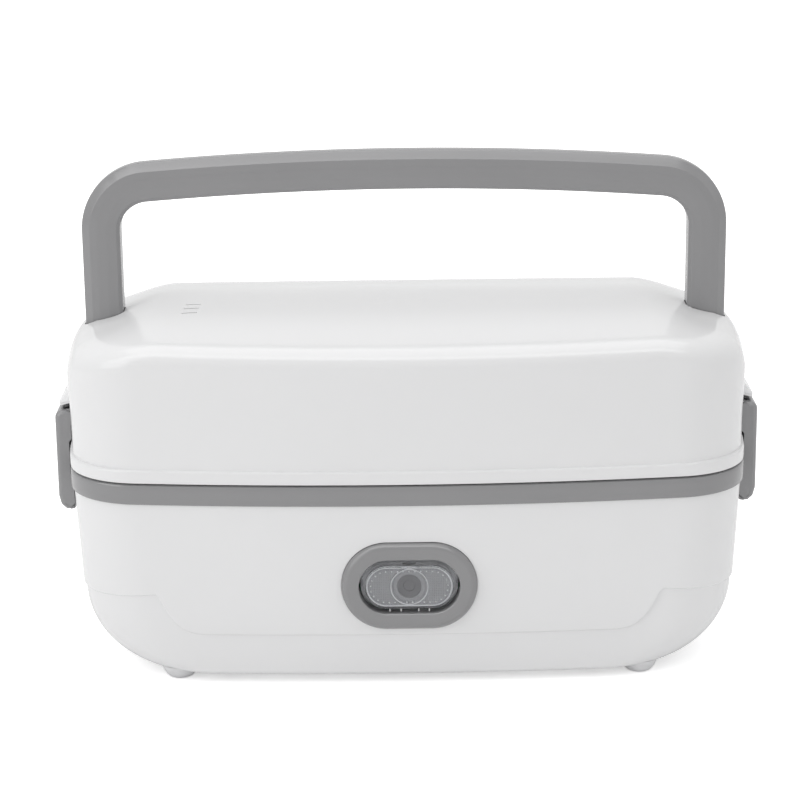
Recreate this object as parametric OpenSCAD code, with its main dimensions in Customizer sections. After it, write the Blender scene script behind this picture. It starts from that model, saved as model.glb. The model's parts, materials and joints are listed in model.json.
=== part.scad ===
// Electric lunch box: a heated base with a water pan, a steel food pot and an upper dish,
// closed by a lift-off lid that carries a push-down handle and two end latches.
// Millimetres. +X runs along the long side, -Y is the front with the push button, +Z is up.
// The origin is on the surface the feet stand on, under the middle of the body.

/* [Body] */
// Width over the widest line of the rim
body_w = 236; // [228:1:246]
// Depth over the widest line of the rim
body_d = 115.5; // [112:0.5:122]
// Radius of the gentle bow of the front and back
front_bow_r = 784; // [600:10:1200]
// Radius of the bow of the two ends
end_bow_r = 240; // [200:10:400]
// Radius of the upright corners
corner_r = 27; // [24:1:30]
// Thickness of the moulded casing walls
wall_t = 2.4; // [2:0.1:2.8]
// Height of the base from its underside to the grey band
base_h = 61.7; // [60:0.1:65]
// Radius that rolls the ends of the base into its underside
heel_r = 26; // [24:1:30]
// How far the white walls stand in from the rim line
wall_inset = 0.9; // [0.6:0.1:1.2]
// How far the base ends lean in from the band down to the heel
base_draft = 2; // [1.5:0.1:2.5]

/* [Bottom cover] */
// Height above the underside of the joint in the middle of the front
joint_low = 15; // [13:0.5:16]
// Height above the underside of the joint round the ends
joint_high = 29.4; // [27:0.2:31]
// How far the bottom cover stands in from the casing above it
joint_inset = 0.8; // [0.5:0.1:1]

/* [Feet] */
// Height of the rubber feet under the base
foot_h = 3; // [2.5:0.5:5]
// Diameter of a foot
foot_d = 10; // [9:0.5:12]
// Distance of the middle of a foot in from the ends of the rim line
foot_end_in = 38.5; // [37.5:0.5:43]
// Distance of the middle of a foot in from the front and back of the rim line
foot_side_in = 14.25; // [14:0.25:19]

/* [Rim] */
// Height of the grey band
band_h = 7; // [6.5:0.1:8]
// Open line between the band and the lid
rim_gap = 0.5; // [0.4:0.1:0.8]
// Thickness of the deck inside the band
deck_t = 2; // [1.6:0.1:2]

/* [Lid] */
// Height of the lid from its lower edge to the middle of its crown
lid_h = 51.6; // [50:0.2:56]
// Height of the thicker lip round the foot of the lid
lip_h = 4.6; // [4.2:0.1:6]
// Thickness of the lid wall
lid_t = 2.2; // [1.8:0.1:2.4]
// Fall of the crown from the middle to the front and back edges
crown_fall = 5.8; // [5:0.1:6.5]
// Fall of the two ends of the crown, where the handle's legs go in
ledge_fall = 6.4; // [5.5:0.1:7]
// Distance of the outer foot of that slope in from the rim line
ledge_in = 6.9; // [6:0.1:8]
// Length of the slope from its foot up to the crown
ledge_run = 24.7; // [22:0.1:27]
// How much deeper the four corners of the crown fall
corner_fall = 5; // [4:0.1:5.5]

/* [Steam vent] */
// Distance of the three vent slots in from the foot of the ledge slope
vent_in = 37.2; // [34:0.1:40]
// Distance of the middle slot from the middle of the lid, towards the front
vent_y = 13.8; // [8:0.1:16]
// Length of a slot
vent_slot_l = 5.5; // [4.5:0.5:6.5]
// Width of a slot
vent_slot_w = 1; // [0.8:0.1:1.2]
// Spacing of the slots
vent_pitch = 5; // [4:0.5:6]

/* [Handle] */
// Width of the bar, seen from the front
handle_w = 13.4; // [12.8:0.1:14]
// Thickness of the bar from front to back
handle_d = 11; // [10:0.5:12]
// Radius of the long edges of the bar
handle_edge_r = 3; // [2:0.5:4]
// Distance of the outer face of a leg in from the rim line
handle_inset = 6.1; // [6:0.1:6.6]
// Room for a hand between the crown of the lid and the middle of the bar
grip_gap = 38.6; // [37:0.2:45]
// Radius of the bends, at the middle of the bar
bend_r = 17; // [15:0.5:19]
// Radius of the upward bow of the bar
bar_bow_r = 1160; // [900:20:1600]

/* [Latches] */
// Width of a latch
latch_w = 31; // [28:1:34]
// How far a latch stands out from the rim line
latch_out = 4.8; // [4.7:0.1:5.3]
// Height of a latch
latch_h = 36.6; // [35.5:0.1:38]
// Thickness of the walls of a latch
latch_t = 1.8; // [1.6:0.1:1.9]
// Diameter of the steel hinge pins
pin_d = 2; // [1.8:0.1:2.2]

/* [Push button] */
// Height of the middle of the button above the underside of the base
button_z = 33; // [32:0.5:34]
// Length of the grey bezel
bezel_w = 46.2; // [45.5:0.1:48]
// Height of the grey bezel
bezel_h = 31; // [30.5:0.1:32]
// Length of the opening in the bezel
bezel_open_w = 34.3; // [34:0.1:35]
// Height of the opening in the bezel
bezel_open_h = 19; // [18.8:0.1:19.4]
// Thickness of the bezel flange
bezel_t = 2.6; // [2.2:0.1:2.8]
// How far the button travels
button_travel = 1.6; // [1.2:0.1:1.6]

/* [Power inlet] */
// Length of the socket opening
socket_w = 24.5; // [24:0.1:25]
// Height of the socket opening
socket_h = 17; // [16.5:0.1:17.5]
// Depth of the socket
socket_depth = 14.5; // [13.5:0.1:14.8]

/* [Water pan] */
// Distance of the pan's mouth in from the ends of the rim line
pan_end_in = 13.5; // [13.5:0.5:17.5]
// Distance of the pan's mouth in from the front and back of the rim line
pan_side_in = 19.75; // [19.75:0.25:21.75]
// Radius of the bow of the pan's front and back walls
pan_bow_r = 1800; // [1200:100:2400]
// Thickness of the pan
pan_t = 1.2; // [1:0.1:1.4]
// Height of the heater space between the bottom cover and the pan
heater_space = 16.6; // [16.2:0.1:18]

/* [Food pot] */
// Thickness of the steel of the pot
pot_t = 0.8; // [0.6:0.1:1]
// Height of the water space under the pot
water_space = 6; // [5:0.5:7]
// Gap between the side of the pot and the pan
pot_gap = 1.4; // [1.2:0.1:2]

/* [Upper dish] */
// Gap between the ends of the upper dish and the handle guides
dish_end_gap = 3.9; // [3.4:0.1:8]
// Gap between the front and back of the upper dish and the lid wall
dish_side_gap = 6.65; // [5.65:0.25:10.65]
// Height of the upper dish without its cover
dish_h = 30; // [26:0.5:30.5]
// Thickness of the upper dish
dish_t = 1.6; // [1.2:0.1:2]

/* [Fits] */
// Gap between parts that move past each other
slide_gap = 0.3; // [0.3:0.05:0.4]
// Radial play of a pin in its bore
pin_play = 0.05; // [0.02:0.01:0.08]

/* [Hidden] */
$fn = 48;

WHITE = [0.93, 0.93, 0.93];
GREY = [0.58, 0.58, 0.59];
STEEL = [0.75, 0.76, 0.77];
EPS = 0.01;

// Heights of the stack, from the surface up
floor_z = foot_h;
band_z0 = floor_z + base_h;
band_z1 = band_z0 + band_h;
lid_z0 = band_z1 + rim_gap;
lip_z = lid_z0 + lip_h;
crown_z = lid_z0 + lid_h;
joint_low_z = floor_z + joint_low;
joint_high_z = floor_z + joint_high;
deck_z = band_z0 + deck_t;

// Places along the width and the depth, all counted from the rim line
leg_x = body_w / 2 - handle_inset - handle_w / 2;
ledge_x = body_w / 2 - ledge_in;
vent_x = ledge_x - vent_in;
foot_x = body_w / 2 - foot_end_in;
foot_y = body_d / 2 - foot_side_in;
pan_hw = body_w / 2 - pan_end_in;
pan_hd = body_d / 2 - pan_side_in;
GUIDE_WALL = 1.6;
GUIDE_OUTER_WALL = 0.8;
dish_hw = leg_x - handle_w / 2 - slide_gap - GUIDE_WALL - dish_end_gap;
dish_hd = body_d / 2 - wall_inset - lid_t - dish_side_gap;

// ---- Plan outline: two wide bows and two end bows joined by corner arcs ----
// Each entry is [x, y, normal x, normal y], anticlockwise from the middle of the front.
FRONT_N = 4;
CORNER_N = 7;
END_N = 3;

function arc(c, r, a0, a1, n) =
    [for (i = [0:n - 1]) let (t = a0 + (a1 - a0) * i / n)
        [c[0] + r * cos(t), c[1] + r * sin(t), cos(t), sin(t)]];

function quarter(hw, hd, rf, re, rc) =
    let (
        yf = rf - hd,
        xe = hw - re,
        span = norm([xe, yf]),
        along = ((rf - rc) * (rf - rc) - (re - rc) * (re - rc) + span * span) / (2 * span),
        off = sqrt((rf - rc) * (rf - rc) - along * along),
        c = [(along * xe + off * yf) / span, yf + (off * xe - along * yf) / span],
        a1 = atan2(c[1] - yf, c[0]),
        a2 = atan2(c[1], c[0] - xe)
    )
    concat(arc([0, yf], rf, -90, a1, FRONT_N), arc(c, rc, a1, a2, CORNER_N), arc([xe, 0], re, a2, 0, END_N),
           [[hw, 0, 1, 0]]);

function outline(hw, hd, rf, re, rc) =
    let (
        q = quarter(hw, hd, rf, re, rc),
        n = len(q),
        right = concat(q, [for (i = [n - 2:-1:0]) [q[i][0], -q[i][1], q[i][2], -q[i][3]]]),
        m = len(right)
    )
    concat(right, [for (i = [m - 2:-1:1]) [-right[i][0], right[i][1], -right[i][2], right[i][3]]]);

// The rim line moved in by a distance
function rim_line(inset) =
    outline(body_w / 2 - inset, body_d / 2 - inset, front_bow_r - inset, end_bow_r - inset,
            corner_r - inset);

function lift(line, z) = [for (p = line) [p[0], p[1], z]];
function flat(line) = [for (p = line) [p[0], p[1]]];

// A closed solid through a stack of rings that all have the same number of points
module loft(rings) {
    n = len(rings[0]);
    m = len(rings);
    sides = [for (r = [0:m - 2]) for (i = [0:n - 1]) for (h = [0, 1])
        h == 0 ? [r * n + i, (r + 1) * n + i, (r + 1) * n + (i + 1) % n]
               : [r * n + i, (r + 1) * n + (i + 1) % n, r * n + (i + 1) % n]];
    polyhedron(
        points = [for (ring = rings) for (p = ring) p],
        faces = concat([[for (i = [0:n - 1]) i]], sides, [[for (i = [n - 1:-1:0]) (m - 1) * n + i]]),
        convexity = 4
    );
}

// An upright prism between two heights on the rim line moved in by a distance
module rim_prism(z0, z1, inset) {
    translate([0, 0, z0]) linear_extrude(z1 - z0) polygon(flat(rim_line(inset)));
}

// ---- Shared small shapes ----
module stadium(w, h) {
    square([w - h, h], center = true);
    for (s = [-1, 1]) translate([s * (w - h) / 2, 0]) circle(d = h);
}

function box_line(w, h, r, n = 4) =
    [for (k = [0:3]) for (i = [0:n]) let (
        t = 90 * k + 90 * i / n,
        c = [(k == 0 || k == 3 ? 1 : -1) * (w / 2 - r), (k < 2 ? 1 : -1) * (h / 2 - r)]
    ) [c[0] + r * cos(t), c[1] + r * sin(t)]];

module rounded_box(w, d, r, z0, z1) {
    translate([0, 0, z0]) linear_extrude(z1 - z0) polygon(box_line(w, d, r));
}

// Points along -Y from a plane, for things set in the front wall
module from_front(y, z) {
    translate([0, y, z]) rotate([90, 0, 0]) children();
}

module from_back(y, z) {
    translate([0, y, z]) rotate([-90, 0, 0]) mirror([0, 1, 0]) children();
}

module both_ends() {
    children();
    mirror([1, 0, 0]) children();
}

// ---- Base casing ----
heel_z = floor_z + heel_r;
top_hw = body_w / 2 - wall_inset;
top_hd = body_d / 2 - wall_inset;
heel_hw = top_hw - base_draft;
heel_x = heel_hw - heel_r;
EDGE_R = 1.5;
FLOOR_BOW_R = 1160;

function base_hd(z) = top_hd - base_draft * (band_z0 - z) / base_h;
function edge_in(z) = z > floor_z + EDGE_R ? 0
    : EDGE_R - sqrt(EDGE_R * EDGE_R - pow(floor_z + EDGE_R - z, 2));

function base_ring(hw, z, t) =
    let (k = (z - floor_z) / base_h, bow = FLOOR_BOW_R + (front_bow_r - FLOOR_BOW_R) * k)
    lift(outline(hw, base_hd(z) - t - (t == 0 || t == joint_inset ? edge_in(z) : 0),
                 bow - t, end_bow_r - t, corner_r - t), z);

// Heel rings roll from the underside up to the heel line, then one ring at the band
function base_rings(t, floor_t, angles, z_top) =
    concat(
        [for (a = angles)
            base_ring(heel_x + (heel_r - t) * cos(a), heel_z - (heel_r - floor_t) * sin(a), t)],
        [base_ring(top_hw - t, z_top, t)]
    );

OUTER_ANGLES = [90, 84, 76, 66, 55, 43, 30, 15, 0];
INNER_ANGLES = [90, 68, 45, 22, 0];

module base_outer(t = 0) {
    loft(base_rings(t, 0, OUTER_ANGLES, band_z0));
}

module base_inner(t) {
    loft(base_rings(t, t, INNER_ANGLES, band_z0 + EPS));
}

// Height of the joint between the casing and the bottom cover, along the width
JOINT_X0 = body_w / 2 - 52;
JOINT_X1 = body_w / 2 - 33.2;
JOINT_END_FALL = 3;
JOINT_POWER = 3.3;
function joint_z(x) =
    let (u = (abs(x) - JOINT_X0) / (JOINT_X1 - JOINT_X0), e = (abs(x) - JOINT_X1) / (body_w / 2 - JOINT_X1))
    u <= 0 ? joint_low_z
    : u <= 1 ? joint_low_z + (joint_high_z - joint_low_z) * pow(u, JOINT_POWER)
    : joint_high_z - JOINT_END_FALL * e;

function joint_line() =
    let (xs = concat([0, JOINT_X0 / 2], [for (i = [0:8]) JOINT_X0 + (JOINT_X1 - JOINT_X0) * i / 8],
                     [JOINT_X1 + 15, body_w]))
    concat([for (i = [len(xs) - 1:-1:1]) [-xs[i], joint_z(xs[i])]], [for (x = xs) [x, joint_z(x)]]);

module joint_slab(above) {
    far = above ? band_z0 + 20 : -20;
    rotate([90, 0, 0]) linear_extrude(2 * body_d, center = true)
        polygon(concat(joint_line(), [[body_w, far], [-body_w, far]]));
}

POST_X = body_w / 2 - 56;
POST_Y = body_d / 2 - 13.25;
POST_D = 8;
SCREW_D = 3;
post_z = joint_low_z + 4;

module at_posts() {
    for (x = [-POST_X, POST_X]) for (y = [-POST_Y, POST_Y]) translate([x, y, 0]) children();
}

module bottom_cover() {
    color(WHITE) difference() {
        union() {
            difference() {
                intersection() {
                    base_outer(joint_inset);
                    joint_slab(false);
                }
                base_inner(joint_inset + wall_t);
            }
            at_posts() translate([0, 0, floor_z + 1]) cylinder(d = POST_D, h = post_z - floor_z - 1);
        }
        at_posts() {
            translate([0, 0, floor_z - 1]) cylinder(d = SCREW_D + 0.4, h = post_z);
            translate([0, 0, floor_z - 1]) cylinder(d = 6.4, h = 4);
        }
        for (x = [-foot_x, foot_x]) for (y = [-foot_y, foot_y])
            translate([x, y, floor_z - 1]) cylinder(d = foot_d + 0.4, h = 2);
    }
}

module base_shell() {
    color(WHITE) difference() {
        union() {
            difference() {
                intersection() {
                    base_outer();
                    joint_slab(true);
                }
                base_inner(wall_t);
            }
            // Screw posts standing on short ribs of the front and back walls
            for (x = [-POST_X, POST_X]) for (s = [-1, 1]) {
                translate([x, s * POST_Y, post_z]) cylinder(d = POST_D, h = 20);
                translate([x - 1, s > 0 ? POST_Y : -base_hd(post_z) + 2, post_z + 4])
                    cube([2, base_hd(post_z) - 2 - POST_Y, 14]);
            }
        }
        at_posts() translate([0, 0, post_z - 1]) cylinder(d = SCREW_D, h = 15);
        // Seat and neck hole of the button bezel
        from_front(bezel_seat_y, button_mid_z) linear_extrude(10) stadium(bezel_w + 0.4, bezel_h + 0.4);
        from_front(bezel_seat_y + 8, button_mid_z) linear_extrude(12) stadium(neck_w + 0.4, neck_h + 0.4);
        // Seat and body hole of the power inlet
        from_back(inlet_seat_y, inlet_z) linear_extrude(10)
            polygon(box_line(inlet_w + 0.4, inlet_h + 0.4, 4.2));
        from_back(inlet_seat_y - 8, inlet_z) linear_extrude(12)
            polygon(box_line(inlet_body_w + 0.4, inlet_body_h + 0.4, 2.2));
    }
}

module feet() {
    color([0.86, 0.86, 0.84]) for (x = [-foot_x, foot_x]) for (y = [-foot_y, foot_y])
        translate([x, y, 0]) rotate_extrude()
            polygon([[0, 0], [foot_d / 2 - 2.2, 0], [foot_d / 2 - 1.2, 0.3], [foot_d / 2 - 0.5, 0.9],
                     [foot_d / 2 - 0.1, 1.7], [foot_d / 2, 2.4], [foot_d / 2, floor_z + 1],
                     [0, floor_z + 1]]);
}

module screw(head_d, head_h, d, length) {
    difference() {
        cylinder(d = head_d, h = head_h);
        translate([0, 0, -EPS]) cylinder(d = head_d / 2, h = head_h / 2, $fn = 6);
    }
    translate([0, 0, head_h - EPS]) cylinder(d = d, h = length);
}

module base_screws() {
    color(STEEL) at_posts() translate([0, 0, floor_z + 1]) screw(5.6, 2, SCREW_D, post_z + 10 - floor_z - 3);
}

// ---- Rim ----
BAND_T = 3.2;
SKIRT_H = 5;
SKIRT_T = 1.6;
skirt_in = wall_inset + wall_t + 0.2 + base_draft * SKIRT_H / (band_z0 - heel_z);
CATCH_W = 16;
catch_tip = body_w / 2 + latch_out - latch_t - 1;
pan_neck = 0.8;

module rim_ring() {
    color(GREY) {
        difference() {
            union() {
                rim_prism(band_z0, band_z1, 0);
                rim_prism(band_z0 - SKIRT_H, band_z0, skirt_in);
            }
            rim_prism(deck_z, band_z1 + 1, BAND_T);
            rim_prism(band_z0 - SKIRT_H - 1, band_z0, skirt_in + SKIRT_T);
            pan_prism(pan_hw + pan_t + pan_neck, pan_hd + pan_t + pan_neck, band_z0 - 1, deck_z + 1);
        }
        // Catches that the latches hook under
        both_ends() difference() {
            translate([body_w / 2 - 1.5, -CATCH_W / 2, band_z0])
                cube([catch_tip - body_w / 2 + 1.5, CATCH_W, 2.6]);
            translate([catch_tip + 1.3, 0, band_z0 + 3.1]) rotate([90, 0, 0])
                cylinder(r = 1.9, h = CATCH_W + 1, center = true);
        }
    }
}

// ---- Water pan and the things that stand in it ----
pan_floor_z = floor_z + wall_t + joint_inset + heater_space - 0.8;
PAN_SLOPE = 3;
PAN_CORNER = 20;
GASKET_T = 0.8;
flange_z = deck_z + GASKET_T;
FLANGE_OUT = 5;

function pan_line(hw, hd, r, bow) = outline(hw, hd, bow, end_bow_r, r);

module pan_prism(hw, hd, z0, z1, r = PAN_CORNER, bow = pan_bow_r) {
    translate([0, 0, z0]) linear_extrude(z1 - z0) polygon(flat(pan_line(hw, hd, r, bow)));
}

// The same, following the bow of the lid, for what stands inside it
module dish_prism(hw, hd, z0, z1, r) {
    pan_prism(hw, hd, z0, z1, r, front_bow_r);
}

// A drawn tray with a rounded foot, from its underside up to its mouth
DRAW_R = 7;
module drawn(hw, hd, slope, z0, z1, r = PAN_CORNER, foot_r = DRAW_R, bow = pan_bow_r) {
    loft(concat(
        [for (a = [90, 60, 30, 0]) let (
            in = slope + foot_r - foot_r * cos(a),
            z = z0 + foot_r - foot_r * sin(a)
        ) lift(pan_line(hw - in, hd - in, max(r - in, 4), bow), z)],
        [lift(pan_line(hw, hd, r, bow), z1)]
    ));
}

module pan_gasket() {
    color([0.8, 0.8, 0.78]) difference() {
        pan_prism(pan_hw + FLANGE_OUT, pan_hd + FLANGE_OUT, deck_z, flange_z);
        pan_prism(pan_hw + pan_t + pan_neck, pan_hd + pan_t + pan_neck, deck_z - 1, flange_z + 1);
    }
}

module water_pan() {
    color([0.7, 0.71, 0.72]) difference() {
        union() {
            drawn(pan_hw + pan_t, pan_hd + pan_t, PAN_SLOPE, pan_floor_z, flange_z + EPS);
            pan_prism(pan_hw + FLANGE_OUT, pan_hd + FLANGE_OUT, flange_z, flange_z + 1);
        }
        drawn(pan_hw, pan_hd, PAN_SLOPE, pan_floor_z + pan_t, flange_z + 1 + EPS);
    }
}

pot_flange_z = flange_z + 1;
pot_floor_z = pan_floor_z + pan_t + water_space;

module food_pot() {
    color(STEEL) difference() {
        union() {
            drawn(pan_hw - pot_gap, pan_hd - pot_gap, PAN_SLOPE, pot_floor_z, pot_flange_z + EPS);
            pan_prism(pan_hw + 4, pan_hd + 4, pot_flange_z, pot_flange_z + pot_t);
        }
        drawn(pan_hw - pot_gap - pot_t, pan_hd - pot_gap - pot_t, PAN_SLOPE, pot_floor_z + pot_t,
              pot_flange_z + pot_t + EPS);
    }
}

lid_seat_z = pot_flange_z + pot_t + GASKET_T;
pot_lid_z1 = lid_seat_z + 1.3;

module pot_gasket() {
    color([0.86, 0.86, 0.84]) difference() {
        pan_prism(pan_hw + 3.5, pan_hd + 3.5, pot_flange_z + pot_t, lid_seat_z);
        pan_prism(pan_hw - 2, pan_hd - 2, pot_flange_z, lid_seat_z + 1);
    }
}

module pot_lid() {
    color([0.9, 0.92, 0.94]) difference() {
        union() {
            pan_prism(pan_hw + 4, pan_hd + 4, lid_seat_z, pot_lid_z1);
            pan_prism(pan_hw - 4, pan_hd - 4, lid_seat_z - 4, lid_seat_z);
        }
        pan_prism(pan_hw - 5.6, pan_hd - 5.6, lid_seat_z - 5, lid_seat_z);
        translate([0, 0, lid_seat_z - 1]) cylinder(d = 4, h = 4);
    }
}

dish_z0 = pot_lid_z1;
dish_z1 = dish_z0 + dish_h;
DISH_CORNER = 22;
DISH_SLOPE = 2;
DISH_FOOT_R = 5;

module upper_dish() {
    color([0.95, 0.95, 0.95]) difference() {
        union() {
            drawn(dish_hw - 1.5, dish_hd - 1.5, DISH_SLOPE, dish_z0, dish_z1, DISH_CORNER - 1.5, DISH_FOOT_R,
                  front_bow_r);
            dish_prism(dish_hw, dish_hd, dish_z1 - 2, dish_z1, DISH_CORNER);
        }
        drawn(dish_hw - 1.5 - dish_t, dish_hd - 1.5 - dish_t, DISH_SLOPE, dish_z0 + dish_t, dish_z1 + EPS,
              DISH_CORNER - 1.5 - dish_t, DISH_FOOT_R, front_bow_r);
    }
}

dish_top_z = dish_z1 + 3.2;

module dish_cover() {
    color([0.88, 0.9, 0.92]) difference() {
        union() {
            dish_prism(dish_hw, dish_hd, dish_z1, dish_z1 + 1.6, DISH_CORNER);
            dish_prism(dish_hw - 6, dish_hd - 6, dish_z1, dish_top_z, DISH_CORNER - 6);
            dish_prism(dish_hw - 4, dish_hd - 4, dish_z1 - 3, dish_z1, DISH_CORNER - 4);
        }
        dish_prism(dish_hw - 7.6, dish_hd - 7.6, dish_z1 - 4, dish_z1 + 1.6, DISH_CORNER - 7.6);
    }
}

// ---- Heater under the pan ----
PLATE_D = 62;
PLATE_T = 4;
PTC_T = 5;
CLAMP_X = 34;
THERMO_X = 56;
THERMO_H = 9;
FUSE_D = 5;
FUSE_L = 16;
TERMINAL_X = 4;
TERMINAL_L = 2.5;
terminal_z = pan_floor_z - THERMO_H - TERMINAL_L;

module heating_plate() {
    color([0.8, 0.81, 0.82]) translate([0, 0, pan_floor_z - PLATE_T]) difference() {
        union() {
            cylinder(d = PLATE_D, h = PLATE_T);
            translate([-CLAMP_X - 5, -6, 0]) cube([2 * (CLAMP_X + 5), 12, PLATE_T]);
        }
        for (x = [-CLAMP_X, CLAMP_X]) translate([x, 0, -1]) cylinder(d = 2.5, h = PLATE_T);
    }
}

module ptc_heater() {
    color([0.55, 0.56, 0.58]) translate([-22, -11, pan_floor_z - PLATE_T - PTC_T]) cube([44, 22, PTC_T]);
}

clamp_z = pan_floor_z - PLATE_T - PTC_T;

module heater_clamp() {
    color(STEEL) difference() {
        union() {
            translate([-CLAMP_X + 8, -5, clamp_z - 1]) cube([2 * CLAMP_X - 16, 10, 1]);
            both_ends() {
                translate([CLAMP_X - 9, -5, clamp_z - 1]) cube([1, 10, PTC_T + 1]);
                translate([CLAMP_X - 9, -5, clamp_z + PTC_T - 1]) cube([13, 10, 1]);
            }
        }
        for (x = [-CLAMP_X, CLAMP_X]) translate([x, 0, clamp_z]) cylinder(d = 2.9, h = PTC_T + 1);
    }
}

module clamp_screws() {
    color(STEEL) for (x = [-CLAMP_X, CLAMP_X])
        translate([x, 0, clamp_z + PTC_T - 2.8]) screw(5, 1.8, 2.5, PLATE_T);
}

module thermostat() {
    color([0.25, 0.25, 0.27]) translate([THERMO_X, 0, pan_floor_z - THERMO_H]) {
        cylinder(d = 15, h = THERMO_H);
        translate([0, 0, THERMO_H - 1]) cylinder(d = 17.5, h = 1);
        for (s = [-1, 1]) translate([s * TERMINAL_X - 3.2, -0.4, -TERMINAL_L])
            cube([6.4, 0.8, TERMINAL_L + 0.1]);
    }
}

module thermal_fuse() {
    color([0.9, 0.88, 0.8]) translate([-THERMO_X, 0, pan_floor_z - FUSE_D / 2]) rotate([90, 0, 0])
        cylinder(d = FUSE_D, h = FUSE_L, center = true);
}

// ---- Push button in the front wall ----
button_mid_z = floor_z + button_z;
bezel_front_y = -(base_hd(button_mid_z) + 2.1);
bezel_seat_y = bezel_front_y + bezel_t;
neck_w = bezel_open_w + 6;
neck_h = bezel_open_h + 6;
shoulder_y = bezel_front_y + 6.2;
board_y = bezel_front_y + 15.2;
BOARD_T = 1.6;
CAP_GAP = 0.55;
cap_w = bezel_open_w - 2 * CAP_GAP;
cap_h = bezel_open_h - 2 * CAP_GAP;
cap_front_y = bezel_front_y + 1;
cap_back_y = shoulder_y + slide_gap;
CARRIER_W = 27;
CARRIER_T = 1.5;
REFLECTOR_D = 12.7;
CAP_T = 1.6;
reflector_h = board_y - cap_front_y - CAP_T - button_travel - 1.2;
PLUNGER_X = 12.3;
STUD_X = 16.7;

module button_bezel() {
    color(GREY) difference() {
        union() {
            from_front(bezel_seat_y, button_mid_z) linear_extrude(bezel_t - 0.8) stadium(bezel_w, bezel_h);
            from_front(bezel_seat_y, button_mid_z) linear_extrude(bezel_t)
                stadium(bezel_w - 1.8, bezel_h - 1.8);
            from_front(board_y, button_mid_z) linear_extrude(board_y - bezel_seat_y + EPS)
                stadium(neck_w, neck_h);
        }
        from_front(board_y + 1, button_mid_z) linear_extrude(30) stadium(bezel_open_w, bezel_open_h);
        difference() {
            from_front(board_y + 1, button_mid_z) linear_extrude(board_y + 1 - shoulder_y)
                stadium(bezel_open_w + 3.4, bezel_open_h + 3.4);
            // Studs for the board screws
            for (s = [-1, 1]) translate([s * STUD_X, 0, 0]) from_front(board_y, button_mid_z)
                linear_extrude(4.6) union() {
                    circle(r = 1.9);
                    translate([s > 0 ? 0 : -4, -1.9]) square([4, 3.8]);
                }
        }
        for (s = [-1, 1]) translate([s * STUD_X, 0, 0]) from_front(board_y + 1, button_mid_z)
            linear_extrude(5) circle(r = 0.8);
    }
}

module button_cap() {
    color([0.85, 0.87, 0.9, 0.5]) difference() {
        union() {
            from_front(cap_back_y, button_mid_z) linear_extrude(cap_back_y - cap_front_y - 1.4)
                stadium(cap_w, cap_h);
            from_front(cap_back_y, button_mid_z) linear_extrude(cap_back_y - cap_front_y)
                stadium(cap_w - 2.8, cap_h - 2.8);
        }
        from_front(cap_back_y + 1, button_mid_z) linear_extrude(cap_back_y + 1 - cap_front_y - CAP_T)
            stadium(cap_w - 2.8, cap_h - 2.8);
    }
}

module button_carrier() {
    color([0.85, 0.85, 0.85]) from_front(cap_back_y + CARRIER_T, button_mid_z) linear_extrude(CARRIER_T)
        difference() {
            intersection() {
                stadium(bezel_open_w + 2.6, bezel_open_h + 2.6);
                square([CARRIER_W, 40], center = true);
            }
            circle(d = REFLECTOR_D + 1.2);
        }
}

SPRING_R = 8.1;
SPRING_WIRE = 0.35;
SPRING_TURNS = 3;
SPRING_STEPS = 14;

// Coil rings swept along Y; u runs round the wire
module button_spring() {
    y0 = cap_back_y + CARRIER_T + SPRING_WIRE + 0.05;
    y1 = board_y - SPRING_WIRE - 0.05;
    n = SPRING_TURNS * SPRING_STEPS;
    color(STEEL) translate([0, 0, button_mid_z]) loft([for (i = [n:-1:0]) let (
            t = 360 * i / SPRING_STEPS,
            y = y0 + (y1 - y0) * i / n
        ) [for (k = [0:7]) let (r = SPRING_R + SPRING_WIRE * cos(45 * k))
            [r * cos(t), y + SPRING_WIRE * sin(45 * k), r * sin(t)]]]);
}

module switch_board() {
    color([0.2, 0.42, 0.3]) from_front(board_y + BOARD_T, button_mid_z) linear_extrude(BOARD_T)
    difference() {
        stadium(neck_w, neck_h);
        for (s = [-1, 1]) translate([s * STUD_X, 0]) circle(r = 1.1);
    }
}

SWITCH_H = button_travel + 1.8;

module tact_switch() {
    color([0.15, 0.15, 0.16]) translate([PLUNGER_X, 0, 0]) from_front(board_y, button_mid_z) difference() {
        linear_extrude(SWITCH_H) square([4.8, 6], center = true);
        translate([0, 0, 0.6]) cylinder(r = 1.2 + pin_play, h = SWITCH_H);
    }
}

module switch_plunger() {
    length = board_y - SWITCH_H + 0.6 - cap_back_y - CARRIER_T;
    color([0.85, 0.85, 0.85]) translate([PLUNGER_X, 0, 0])
        from_front(board_y - SWITCH_H + 0.6, button_mid_z) cylinder(r = 1.2, h = length);
}

module lamp_reflector() {
    color([0.88, 0.89, 0.9]) from_front(board_y, button_mid_z) difference() {
        cylinder(d = REFLECTOR_D, h = reflector_h);
        translate([0, 0, 4]) cylinder(d1 = 6, d2 = REFLECTOR_D - 1, h = reflector_h - 3.9);
        translate([0, 0, -1]) cylinder(d = 5.4, h = 6);
    }
}

module indicator_lamp() {
    color([0.8, 0.3, 0.25]) from_front(board_y, button_mid_z) {
        cylinder(d = 5, h = 6);
        translate([0, 0, 6]) sphere(d = 5);
    }
}

module board_screws() {
    color(STEEL) for (s = [-1, 1]) translate([s * STUD_X, board_y + BOARD_T + 0.8, button_mid_z])
        rotate([90, 0, 0]) {
            cylinder(d = 3.2, h = 0.8);
            cylinder(r = 0.8, h = 5);
        }
}

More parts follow.
